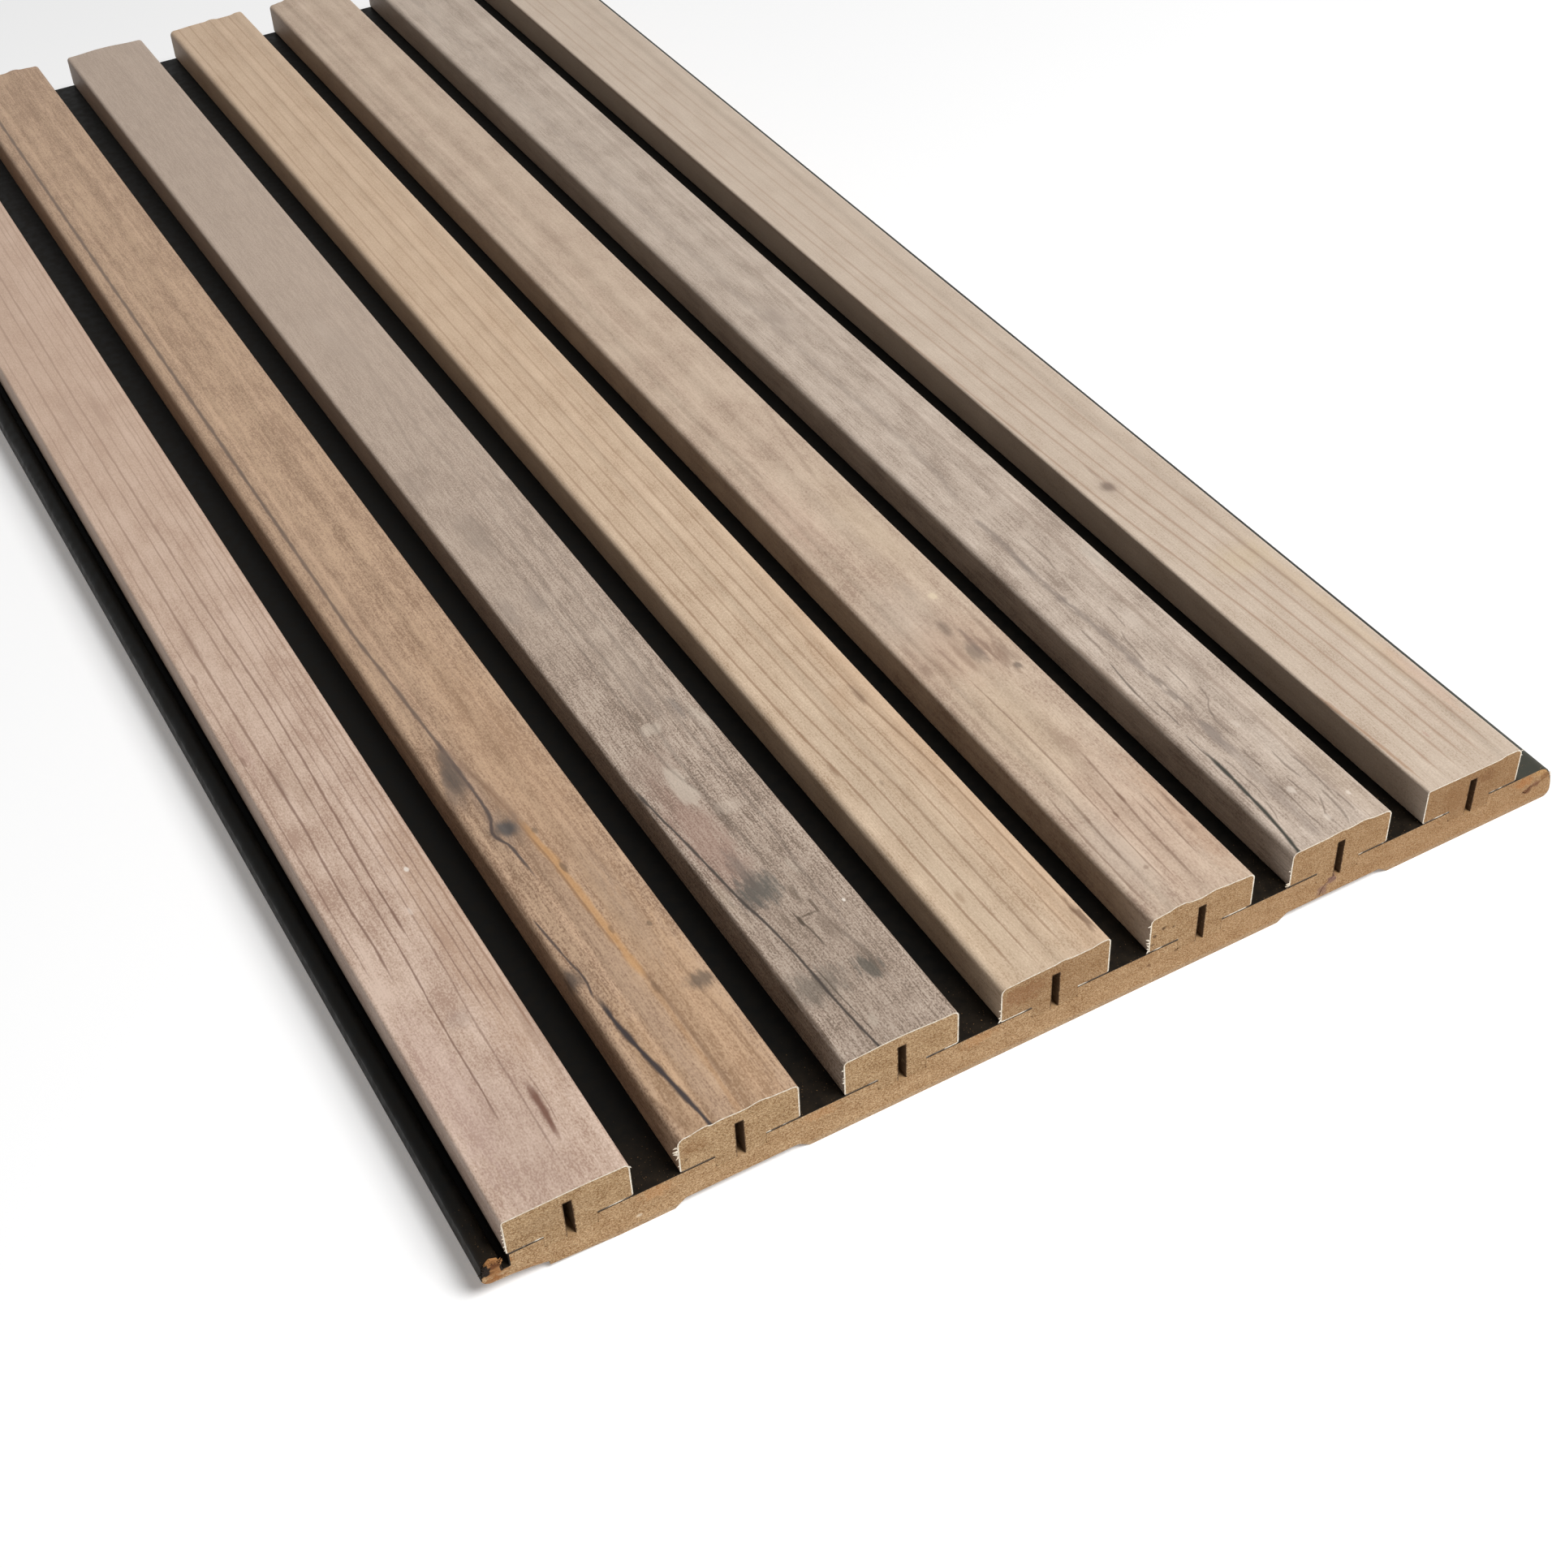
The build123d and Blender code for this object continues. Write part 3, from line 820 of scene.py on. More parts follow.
# %% Slat 3
decors[3] = decor_material(
    3, {"Pale": paint(188, 171, 155), "Middle": paint(160, 141, 126), "Dark": paint(112, 96, 82),
        "Fine": 2.1, "Broad": 0.9, "Cloudy": 0.8, "Pores": 1.8},
    shade=(78, 66, 56), far_tone=((182, 163, 147), 0.75), marks=[
        stain((30, 15), (45, 14), 0.3, (142, 126, 111)),
        stain((80, 7.5), (22, 5), 0.5, (156, 124, 110), soft=0.7),
        stain((110, 8), (6, 6), 0.35, (150, 128, 114)),
        stain((99, 11), (7.5, 2.6), 0.65, (198, 184, 168), soft=0.4, frayed=0.6),
        stain((86.5, 17.5), (2.2, 3.4), 0.4, (196, 180, 164), soft=0.6, frayed=1.0),
        stain((123, 14.5), (2, 3), 0.5, (198, 184, 168), soft=0.5, frayed=0.8),
        stain((121, 28), (5, 1.6), 0.5, (196, 182, 166), soft=0.5, frayed=0.8),
        stain((7, 12), (2, 1.1), 0.5, (182, 168, 152), soft=0.4, frayed=0.6),
        stain((60, 21), (3, 1), 0.4, (186, 172, 156), soft=0.4, frayed=0.6),
        stain((57, 2), (7, 1.4), 0.35, (178, 160, 140), soft=0.4, frayed=0.8),
        stain((44, 26), (0.6, 0.4), 0.9, (226, 216, 204), soft=0.3, frayed=0.1),
        stain((150, 20), (30, 6), 0.3, (182, 166, 150), frayed=0.9),
        stain((200, 6), (40, 5), 0.3, (184, 166, 150), frayed=0.9),
        line([(30, 22.5), (55, 22.2), (80, 23.5), (120, 22.6), (200, 23), (FAR, 22)],
             1.1, 0.35, wander=0.8),
        line([(60, 16.8), (90, 15), (150, 16.5), (FAR, 15)], 1.0, 0.35, wander=0.7),
        line([(66, 13.5), (90, 14.2), (110, 11.5), (150, 12.8), (240, 12)], 0.9, 0.35, wander=0.7),
        line([(75, 26), (100, 25.4), (150, 26.6), (FAR, 26)], 1.0, 0.3, wander=0.8),
        stain((128, 24.4), (4, 1.2), 0.6, (104, 96, 90), soft=0.7),
        stain((134, 19), (8, 1.5), 0.5, (112, 98, 88), soft=0.7),
        stain((22.5, 20), (4.0, 2.5), 0.8, (76, 72, 64), soft=0.6, frayed=1.0),
        line([(12, 23.2), (20, 22.2), (30, 21.2), (41, 18.6)], 1.3, 0.55, (92, 78, 66), wander=0.4, fade=8),
        stain((38, 18.5), (5, 1.5), 0.5, (104, 88, 74), soft=0.6, frayed=0.9),
        stain((23, 6), (4.4, 7), 0.65, (96, 88, 78), soft=0.7, frayed=0.8),
        stain((57, 9.6), (5.2, 5.0), 0.85, (78, 76, 70), soft=0.7, frayed=1.0),
        stain((65, 9.4), (6, 1.6), 0.6, (98, 86, 78), soft=0.6, frayed=0.8),
        stain((52, 16.6), (4, 0.9), 0.6, (96, 82, 68), soft=0.5, frayed=0.6),
        line([(31, 14.6), (40, 14), (44, 13.3), (49, 13)],
             0.5, 0.8, (70, 58, 46), wander=0.2, fade=4, worn=0.1),
        stain((43, 13.4), (1.6, 0.5), 0.85, (66, 54, 42), soft=0.4, frayed=0.5),
        stain((43.8, 16.1), (0.4, 2.6), 0.7, (78, 64, 50), soft=0.5, frayed=0.4),
        stain((46, 18.8), (2.6, 0.5), 0.75, (82, 66, 52), soft=0.4, frayed=0.5),
        line([(2, 10.6), (12, 10.0), (20, 9.3), (27, 8.9), (31, 8)],
             0.35, 0.75, (74, 62, 50), wander=0.15, fade=5),
        line([(2, 0.6), (30, 0.4), (62, 0.2)], 0.9, 0.7, (84, 66, 50), wander=0.3, fade=8),
        line([(-20, 11), (0, 9.3), (10, 8.4), (20, 7.8), (30, 7.5), (45, 6.4), (55, 5), (65, 4),
              (80, 2.8), (95, 1.2), (110, 0.2)],
             0.75, 0.95, (54, 46, 40), wander=0.12, fade=10, worn=0.0),
        stain((188, 12), (6, 2), 0.45, (104, 92, 84), soft=0.7),
        stain((188, 3), (6, 2), 0.45, (104, 92, 84), soft=0.7),
        stain((225, 10), (10, 3), 0.5, (108, 96, 86), soft=0.7, frayed=0.8),
        stain((258, 4), (7, 2.4), 0.45, (110, 96, 86), soft=0.7),
        line([(250, 9), (290, 12.6), (330, 17)], 1.0, 0.4, wander=0.5),
        stain((340, 15), (14, 5), 0.4, (120, 108, 98), soft=0.7, frayed=0.8),
        stain((355, 12), (10, 2.5), 0.4, (196, 182, 168), soft=0.7, frayed=0.6),
    ])

# %% [markdown]
# Slat 4 is a light tan with the plainest figure: six growth lines, evenly spaced, that bend to the left
# together about 90 mm in.

# %% Slat 4
tan_lines = [
    ([(0, 28.2), (40, 27.9), (70, 27.4), (85, 26.6), (105, 25.4), (150, 25.2), (FAR, 24.5)], 0.7),
    ([(0, 24.1), (40, 23.7), (70, 23.2), (85, 22.5), (105, 21.4), (150, 21), (FAR, 20.5)], 0.55),
    ([(0, 20.2), (40, 19.5), (75, 19.2), (95, 18), (115, 17.4), (150, 17), (FAR, 16.5)], 0.6),
    ([(0, 15.9), (40, 15.6), (70, 15.3), (95, 14), (120, 13.4), (150, 13.2), (FAR, 12.5)], 0.55),
    ([(0, 11.6), (40, 11), (75, 10.8), (95, 9.8), (120, 8.9), (150, 8.5), (FAR, 8)], 0.7),
    ([(0, 6.3), (40, 5.9), (80, 5.7), (95, 4.8), (120, 4.2), (150, 3.9), (FAR, 3.5)], 0.7),
]
decors[4] = decor_material(
    4, {"Pale": paint(213, 190, 164), "Middle": paint(196, 172, 147), "Dark": paint(166, 140, 114),
        "Fine": 0.9, "Broad": 0.7},
    shade=(124, 90, 62), far_tone=((200, 172, 145), 0.5), marks=[
        stain((60, 29), (120, 5), 0.4, (198, 163, 130), soft=0.8, frayed=0.3),
        stain((60, 17), (120, 3.5), 0.2, (180, 160, 136), soft=0.8, frayed=0.3),
        stain((50, 9), (60, 4), 0.25, (186, 170, 148), soft=0.8, frayed=0.3),
        stain((20, 4), (30, 4), 0.2, (206, 184, 156), soft=0.8, frayed=0.4),
    ] + [
        stain((70, path[2][1] - 1.4), (90, 1.3), 0.16, (170, 144, 118), soft=0.8, frayed=0.2)
        for path, _ in tan_lines
    ] + [
        line(path, 0.6, strength * 0.85, wander=0.15, worn=0.35) for path, strength in tan_lines
    ] + [
        stain((9, 28.6), (6, 0.9), 0.75, (104, 78, 58), soft=0.5, frayed=0.8),
        stain((106, 25.1), (4, 0.9), 0.6, (116, 92, 72), soft=0.6),
        stain((85, 5.0), (3, 0.6), 0.6, (134, 106, 82), soft=0.6),
        stain((30, 7.8), (2.2, 0.8), 0.5, (150, 122, 96), soft=0.6),
        stain((107, 20), (5, 2.5), 0.25, (176, 142, 112), soft=0.7),
        stain((74, 12.6), (1.0, 0.5), 0.5, (140, 118, 98), soft=0.5),
        stain((80, 14.8), (2.4, 0.5), 0.45, (140, 116, 94), soft=0.5),
    ])

# %% [markdown]
# Slat 5 is a rose beige. Its lines are short and slant a little, and about 100 mm in a saw has left a
# group of dark smears across the board.

# %% Slat 5
rose_lines = [
    [(2, 17.4), (25, 17.7), (39, 18.6), (62, 19.8)], [(6, 13.5), (30, 13.9), (38, 14.6), (52, 15.2)],
    [(4, 10.5), (25, 10.5), (40, 11.3), (55, 11.8), (100, 11)], [(12, 6), (35, 6.6), (52, 7.6)],
    [(2, 2.4), (35, 2.6), (52, 3.7)], [(18, 20), (40, 21.3)], [(22, 25.1), (40, 26.3)], [(8, 22.8), (42, 24)],
    [(26, 28.4), (40, 28.7)],
]
decors[5] = decor_material(
    5, {"Pale": paint(200, 179, 158), "Middle": paint(184, 162, 142), "Dark": paint(158, 134, 116),
        "Fine": 1.0, "Cloudy": 1.6, "Pores": 1.2},
    shade=(110, 82, 64), far_tone=((190, 169, 149), 0.45), marks=[
        stain((28, 18), (26, 8), 0.25, (192, 160, 140), soft=0.8, frayed=0.3),
        stain((24, 28), (22, 3), 0.35, (176, 138, 110), soft=0.8),
        stain((75, 12), (22, 9), 0.35, (201, 180, 152), soft=0.8, frayed=0.3),
        stain((22, 6), (14, 5), 0.3, (184, 168, 156), soft=0.8, frayed=0.4),
        stain((125, 10), (14, 8), 0.3, (186, 172, 158), soft=0.8, frayed=0.3),
        stain((108, 15), (13, 16), 0.35, (178, 148, 126), soft=0.6, frayed=0.5),
        stain((170, 24), (26, 5), 0.3, (196, 176, 148), soft=0.8, frayed=0.5),
        stain((182, 6), (16, 5), 0.3, (192, 160, 142), soft=0.8, frayed=0.5),
    ] + [
        line(path, 0.6, 0.55, wander=0.15, fade=10, worn=0.3) for path in rose_lines
    ] + [
        stain((38, 18.5), (2.2, 0.45), 0.6, soft=0.5, frayed=0.2),
        stain((34, 14.2), (1.2, 0.45), 0.7, soft=0.5, frayed=0.2),
        stain((21, 27.4), (2.4, 0.8), 0.4, soft=0.6),
        stain((30, 28.3), (5, 0.6), 0.5, soft=0.6),
        stain((14.5, 9), (0.7, 0.7), 0.5, soft=0.5),
        stain((105, 22.4), (9, 0.8), 0.7, (116, 90, 74), soft=0.7, frayed=0.7),
        stain((108, 20.1), (8, 0.9), 0.7, (112, 90, 78), soft=0.7, frayed=0.7),
        stain((104, 18.8), (4.4, 1.9), 0.7, (118, 102, 90), soft=0.6, frayed=0.5),
        stain((105, 15.2), (7, 1.0), 0.5, (130, 102, 84), soft=0.6, frayed=0.3),
        stain((105, 10.8), (6, 0.8), 0.6, (116, 88, 72), soft=0.8, frayed=0.6),
        stain((117.5, 17.2), (2.8, 1.2), 0.6, (106, 90, 78), soft=0.8, frayed=0.7),
        stain((94.5, 25.6), (1.3, 1.1), 0.7, (92, 82, 74), soft=0.6),
        stain((101, 26.2), (5.5, 1.5), 0.55, (120, 98, 82), soft=0.8, frayed=0.9),
        stain((99, 24), (6, 0.9), 0.5, (124, 100, 84), soft=0.8, frayed=0.7),
        stain((113, 26.8), (8, 0.8), 0.5, (132, 108, 90), soft=0.6),
        stain((105, 3.6), (2.6, 1.6), 0.45, (128, 104, 88), soft=0.9, frayed=0.8),
        stain((113, 3.6), (6, 0.7), 0.35, (132, 106, 90), soft=0.7),
        stain((104, 7.2), (5, 0.8), 0.3, (136, 110, 92), soft=0.7),
        stain((60, 19.4), (5, 1.2), 0.3, (146, 120, 102), soft=0.7, frayed=0.6),
        stain((131, 22), (1.4, 1.3), 0.6, (222, 204, 174), soft=0.5),
        stain((137, 17), (4, 2), 0.25, (156, 138, 126), soft=0.7),
        line([(190, 22), (215, 25), (242, 29)], 1.2, 0.3, wander=0.3),
        line([(198, 9.5), (220, 8), (246, 6)], 1.2, 0.3, wander=0.3),
    ])

# %% [markdown]
# Slat 6 is a grey beige whose top has dried and checked. A dark crack enters from the sawn end, a grey
# line runs down the middle in broken lengths, and short fine checks wander between them.

# %% Slat 6
checks = [
    [(40, 13.7), (46, 13.6), (52, 14.4), (55, 16), (58, 17.8), (64, 18.6)],
    [(0, 17.2), (3, 18.6), (9, 19.4), (16, 20.2)], [(1, 16), (6, 15.2), (10, 17.2), (15, 18.4)],
    [(8, 14.6), (16, 15.6), (24, 15.2)], [(2, 11.8), (12, 11.6), (24, 12.3)],
    [(26, 13.2), (33, 12.4), (38, 14.2)], [(60, 14.3), (68, 15.6), (76, 15.8)],
    [(76, 12.2), (84, 12.8), (92, 14.8)], [(90, 15.6), (98, 17), (104, 17.2)],
    [(18, 18.6), (26, 18.2), (34, 19.4)], [(10, 21.2), (20, 21.6), (30, 21.1)],
    [(16, 6.2), (26, 6.8), (38, 6.4)], [(56, 3.6), (64, 2.6), (70, 3.2)],
    [(84, 4.8), (94, 5.6), (100, 5.4)], [(120, 14.2), (130, 15.2), (142, 15)],
    [(2, 20.6), (8, 22.2), (14, 21.8)],
]
decors[6] = decor_material(
    6, {"Pale": paint(200, 184, 169), "Middle": paint(180, 163, 148), "Dark": paint(146, 129, 115),
        "Fine": 1.4, "Cloudy": 1.4},
    shade=(98, 82, 70), far_tone=((183, 167, 152), 0.45), marks=[
        stain((60, 20), (60, 6), 0.15, (200, 184, 168), soft=0.8),
        stain((20, 27), (30, 3), 0.25, (190, 168, 144), soft=0.8),
        line([(0, 23.2), (30, 22.8), (150, 22.3), (FAR, 22)],
             1.4, 0.4, (134, 114, 99), wander=0.3, worn=0.1),
        line([(0, 9.4), (20, 9.8), (38, 10.1), (52, 10.1)],
             2.6, 0.4, (136, 122, 112), wander=0.4, worn=0.35, fade=4),
        stain((45, 10), (6.5, 1.4), 0.55, (116, 104, 96), soft=0.7, frayed=0.9),
        line([(52, 10.9), (70, 10.3), (95, 10), (105, 9.2), (120, 8.5), (140, 9), (158, 8.7)],
             1.9, 0.62, (114, 101, 92), wander=0.5, worn=0.48, fade=6),
        line([(162, 8.6), (195, 12), (240, 11), (FAR, 9)],
             2.2, 0.4, (128, 114, 104), wander=0.5, worn=0.5, fade=6),
        stain((111, 8.6), (1.6, 1.3), 0.55, (112, 100, 92), soft=0.6),
        stain((130, 8.4), (5, 0.9), 0.5, (114, 102, 94), soft=0.6),
        stain((80, 9.3), (2, 0.9), 0.4, (118, 104, 96), soft=0.6),
    ] + [
        line(path, 0.55, 0.55, wander=0.5, fade=4, worn=0.2) for path in checks
    ] + [
        stain((10, 25.1), (0.8, 0.5), 0.7, (222, 208, 194), soft=0.4),
        stain((18, 13.4), (1.3, 0.9), 0.55, (218, 204, 190), soft=0.4),
        stain((45, 17), (1.6, 0.8), 0.4, (214, 200, 186), soft=0.4),
        stain((5.5, 14.8), (1.2, 0.8), 0.5, (216, 202, 188), soft=0.4),
        stain((122, 27.2), (6, 2.2), 0.45, (208, 196, 182), soft=0.6, frayed=0.6),
        stain((14, 4.6), (7, 0.9), 0.4, (208, 190, 174), soft=0.6),
        line([(10, 3.4), (14, 5), (20, 6)], 0.4, 0.5, wander=0.3, fade=3),
        line([(65, 2.4), (75, 3.5), (84, 4.3)], 0.55, 0.75, (84, 72, 62), wander=0.25, fade=4, worn=0.1),
        line([(50, 4.6), (58, 5.1), (66, 5)], 0.45, 0.65, (88, 76, 66), wander=0.2, fade=4, worn=0.1),
        line([(36, 4.2), (45, 3.7), (50, 4.6)], 0.4, 0.7, (84, 72, 62), wander=0.2, fade=4, worn=0.1),
        line([(-20, -1), (0, 1.6), (6, 2.4), (15, 3.3), (25, 3.8), (45, 4.3)],
             0.95, 1.0, (50, 48, 40), wander=0.15, fade=10, worn=0.0),
        stain((75, 0.4), (22, 0.7), 0.5, (132, 112, 94), soft=0.6),
        stain((280, 14), (13, 4), 0.45, (150, 134, 122), soft=0.7),
        stain((280, 14), (5, 2), 0.5, (128, 112, 102), soft=0.7),
    ])

# %% [markdown]
# Slat 7 is the palest beige, with wide, soft growth lines that drift to the left, and a single small knot.

# %% Slat 7
pale_lines = [
    ([(0, 25), (50, 24.9), (100, 24.3), (150, 23), (FAR, 20)], 0.45),
    ([(0, 21), (70, 20.4), (150, 18.5), (FAR, 15)], 0.45),
    ([(0, 16.8), (60, 16), (100, 15), (150, 12.5), (FAR, 9)], 0.55),
    ([(0, 12.6), (50, 12.4), (100, 11.3), (150, 9), (FAR, 5)], 0.5),
    ([(0, 7.6), (40, 7.3), (70, 6.9), (100, 5.3), (150, 2.5), (FAR, 0)], 0.6),
]
decors[7] = decor_material(
    7, {"Pale": paint(205, 188, 170), "Middle": paint(192, 174, 156), "Dark": paint(172, 152, 133),
        "Fine": 0.7, "Broad": 0.8, "Cloudy": 0.9, "Pores": 0.9},
    shade=(150, 120, 98), far_tone=((196, 179, 162), 0.4), marks=[
        stain((35, 27), (14, 2), 0.35, (202, 168, 150), soft=0.7),
        stain((70, 25.6), (34, 2.4), 0.35, (203, 178, 146), soft=0.8),
        stain((100, 19), (6, 8), 0.35, (201, 180, 146), soft=0.8, frayed=0.2),
        stain((25, 19), (12, 2), 0.25, (214, 196, 180), soft=0.8),
    ] + [
        line(path, 1.5, strength * 0.5, (172, 148, 128), wander=0.15, worn=0.1)
        for path, strength in pale_lines
    ] + [
        line(path, 0.6, strength, wander=0.12, worn=0.25) for path, strength in pale_lines
    ] + [
        line([(0, 1.6), (20, 1.2), (40, 0.3), (50, -0.4)], 0.9, 0.6, (150, 112, 82), wander=0.15),
        stain((17, 13.9), (1.4, 0.5), 0.45, (170, 134, 120), soft=0.5),
        stain((147.5, 8), (4.6, 3.2), 0.5, (164, 144, 128), soft=0.7, frayed=0.3),
        stain((147.8, 8), (2.3, 1.9), 0.8, (104, 86, 74), soft=0.6, frayed=0.3),
        stain((155, 8.4), (4, 0.5), 0.5, (136, 112, 96), soft=0.6),
    ])
print("decors:", ", ".join(material.name for material in decors.values()))

# %% [markdown]
# Where the saw went through, each film shows its core of paper: a cream-coloured, slightly furred line.
# The finish only has to vary a little so that the line doesn't look drawn. Where the film is folded under
# the slat's foot, the line is painted dark as shade between film and board.

# %% Film's cut edge, and both finishes on the films
cut_paper, pen, shader = new_material("cut_paper", roughness=0.85, specular=0.2)
place = pen.node("TexCoord").outputs["Object"]
grit = pen.noise(place, scale=1.6 / MM, detail=2.0)
stained = pen.noise(place, scale=0.22 / MM, detail=2.0)
paper = pen.mix(pen.ramp(grit, 0.35, 0.65), paint(220, 205, 182), paint(244, 236, 222))
paper = pen.mix(pen.ramp(stained, 0.5, 0.72, 0.0, 0.5), paper, paint(186, 158, 124))
# Painted shade: the lowest part of the cut line, folded under the foot, is darkened.
dark_up_to, unshaded_above = foot_height + 0.3, foot_height + 0.5
painted_shade_under_foot = pen.ramp(pen.split(place)["Z"], dark_up_to * MM, unshaded_above * MM, 0.9, 0.0)
painted_shade_under_foot = pen.times(painted_shade_under_foot, pen.ramp(stained, 0.4, 0.52))
pen.link(pen.mix(painted_shade_under_foot, paper, paint(66, 46, 30)), shader["Base Color"])

for number, film in films.items():
    film.data.materials.append(decors[number])
    film.data.materials.append(cut_paper)
print(cut_paper.name, "closes both ends of", len(films), "films")

# %% [markdown]
# ## Fibreboard
#
# Fibreboard is wood ground to fibres and pressed flat. A saw cut through it shows short fibres that lie in
# the plane of the board, darker flecks of bark, pale specks, and clouds where the glue has set darker. The
# group works in millimetres on the piece's own coordinates, so the flecks have one size on every piece. On
# the sawn ends they are drawn strongly, and weakly on the pressed and sanded faces.

# %% Fibreboard, as a node group
pressed_strength = 0.35


def make_fibreboard():
    """The tone is the middle one plus the swings of grit, fibres and clouds, which are weaker on a face that
    isn't sawn. Bark and pale specks are laid over it."""
    pen, given, result = new_group(
        "fibreboard",
        {"Place": (0.0, 0.0, 0.0), "Sawn": 1.0, "Pale": paint(203, 172, 134), "Middle": paint(173, 141, 103),
         "Dark": paint(134, 100, 65)},
        {"Color": "Color", "Tone": "Float"},
    )

    def flecks(wide, high, seed, detail=2.0):
        """A noise with cells of the given width and depth and of the given height, moved by its seed."""
        scale = (1 / wide, 1 / wide, 1 / high)
        cells = {"Vector": given["Place"], "Location": (0.0, 0.0, seed), "Scale": scale}
        return pen.noise(pen.node("Mapping", cells).outputs[0], detail=detail)

    grit = swing(pen, flecks(0.42, 0.34, 0.0), 1.9)
    fibres = swing(pen, flecks(1.0, 0.35, 31.0), 0.9)
    clouds = swing(pen, flecks(6.5, 3.0, 57.0, 1.0), 0.5)
    strong = pen.add(pressed_strength, pen.times(given["Sawn"], 1.0 - pressed_strength))
    tone = pen.add(all_middle, pen.times(pen.add(pen.add(grit, fibres), clouds), strong))
    color = three_tones(pen, tone, given)
    bark = pen.ramp(flecks(0.6, 0.35, 83.0, 1.0), 0.7, 0.78, 0.0, pen.times(given["Sawn"], 0.6))
    color = pen.mix(bark, color, paint(104, 72, 46))
    pale = pen.ramp(flecks(0.45, 0.35, 97.0, 1.0), 0.71, 0.78, 0.0, pen.times(given["Sawn"], 0.45))
    color = pen.mix(pale, color, paint(226, 202, 170))
    pen.link(color, result["Color"])
    pen.link(tone, result["Tone"])
    return pen.tree


fibreboard = make_fibreboard()
print(fibreboard.name, "has", len(fibreboard.nodes), "nodes")

# %% [markdown]
# The cores and the board are drawn with one routine. It browns the board a little from left to right, as
# the photograph does, lays stains over the sawn end, and darkens the walls and the rim of the saw kerfs with
# painted shade. The stains are written as the decor's are, but with their place across the panel and above
# the slats' feet.

# %% Fibreboard material
kerf_width = 2.1
kerf_rise = 8.0
tongue_depth = 3.5
slat_pitch = left_sides[2] - left_sides[1]
browned_from, browned_to = 60.0, 290.0
stains_within, clean_beyond = 1.5, 5.0
fibre_depth = 0.16 * MM


def fibreboard_material(name, tones, stains):
    """The group's colour, browned from left to right, then the stains close to the sawn end, then painted
    shade in the kerfs: wherever a point is little more than half a kerf off a slat's middle, from the
    tongue's foot up to the kerf's end."""
    material, pen, shader = new_material(name, roughness=0.85, specular=0.2)
    place = pen.place()
    at = pen.split(place)
    facing = pen.split(pen.node("TexCoord").outputs["Normal"])
    sawn = pen.ramp(pen.math("ABSOLUTE", facing["Y"]), 0.7, 0.9)
    fibre = pen.group(fibreboard, {"Place": place, "Sawn": sawn} | tones)
    across = pen.minus(at["X"], left_sides[1])
    browned = pen.ramp(across, browned_from, browned_to, 0.0, 0.45)
    color = pen.mix(browned, fibre["Color"], paint(150, 110, 70))

    on_end = pen.vector(across, pen.minus(at["Z"], foot_height))
    fray = swing(pen, pen.noise(place, scale=0.7, detail=3.0), 3.0)
    near = pen.ramp(at["Y"], sawn_end + stains_within, sawn_end + clean_beyond, 1.0, 0.0)
    for mark in stains:
        mask = draw_stain(pen, on_end, fray, mark, mark["centre"], mark["half"])
        color = pen.mix(pen.times(mask, near), color, paint(*mark["shade"]))

    # Painted shade in the saw kerfs: their walls and the rim of their mouths are darkened.
    from_middle = pen.wrap(pen.minus(across, slat_width / 2), -slat_pitch / 2, slat_pitch / 2)
    ragged = swing(pen, pen.noise(place, scale=1.4, detail=2.0), 0.8)
    off_middle = pen.add(pen.math("ABSOLUTE", from_middle), ragged)
    painted_kerf_shade = pen.ramp(off_middle, kerf_width / 2 + 0.02, kerf_width / 2 + 0.35, 0.85, 0.0)
    tongue_foot, kerf_end = foot_height - tongue_depth, foot_height + kerf_rise
    above = pen.ramp(at["Z"], tongue_foot - 0.1, tongue_foot + 0.1)
    below = pen.ramp(at["Z"], kerf_end + 0.1, kerf_end + 0.35, 1.0, 0.0)
    color = pen.mix(pen.times(painted_kerf_shade, pen.times(above, below)), color, paint(72, 50, 32))
    pen.link(color, shader["Base Color"])
    pen.link(bump(pen, fibre["Tone"], fibre_depth, 0.8), shader["Normal"])
    return material


core_stains = [
    stain((141, 5.5), (17, 8), 0.32, (124, 84, 46), soft=0.5, frayed=0.3),
    stain((267, 4.5), (17, 9), 0.32, (122, 84, 48), soft=0.5, frayed=0.3),
    stain((132, 6.5), (6, 3), 0.45, (138, 92, 58), frayed=0.8),
    stain((172, 6.5), (0.6, 0.5), 0.8, (70, 46, 28), frayed=0.3),
    stain((169.5, 5), (0.5, 0.5), 0.7, (70, 46, 28), frayed=0.3),
    stain((175, 5.5), (0.5, 0.4), 0.6, (76, 50, 30), frayed=0.3),
    stain((169, 2.3), (0.5, 0.4), 0.6, (76, 50, 30), frayed=0.3),
    stain((43.8, 3.5), (0.5, 0.4), 0.6, (90, 62, 40), frayed=0.3),
    stain((271.5, 7), (2.6, 1.8), 0.45, (120, 78, 44), frayed=0.9),
    stain((46, 6.5), (3, 2), 0.3, (150, 108, 70), frayed=0.8),
    stain((262, 4), (4, 4), 0.3, (136, 96, 58), frayed=0.8),
    stain((12, 5), (8, 3), 0.2, (150, 124, 96), frayed=0.8),
]
slat_fibreboard = fibreboard_material("slat_fibreboard", {}, core_stains)
print("stains on the cores:", len(core_stains))

# %% [markdown]
# The board has more to tell: the torn left lip is raw and orange, the right lip has dark cracked places, a
# purplish smudge runs down from the sixth kerf, and between the slats the wood just under the black face
# is tinted orange.

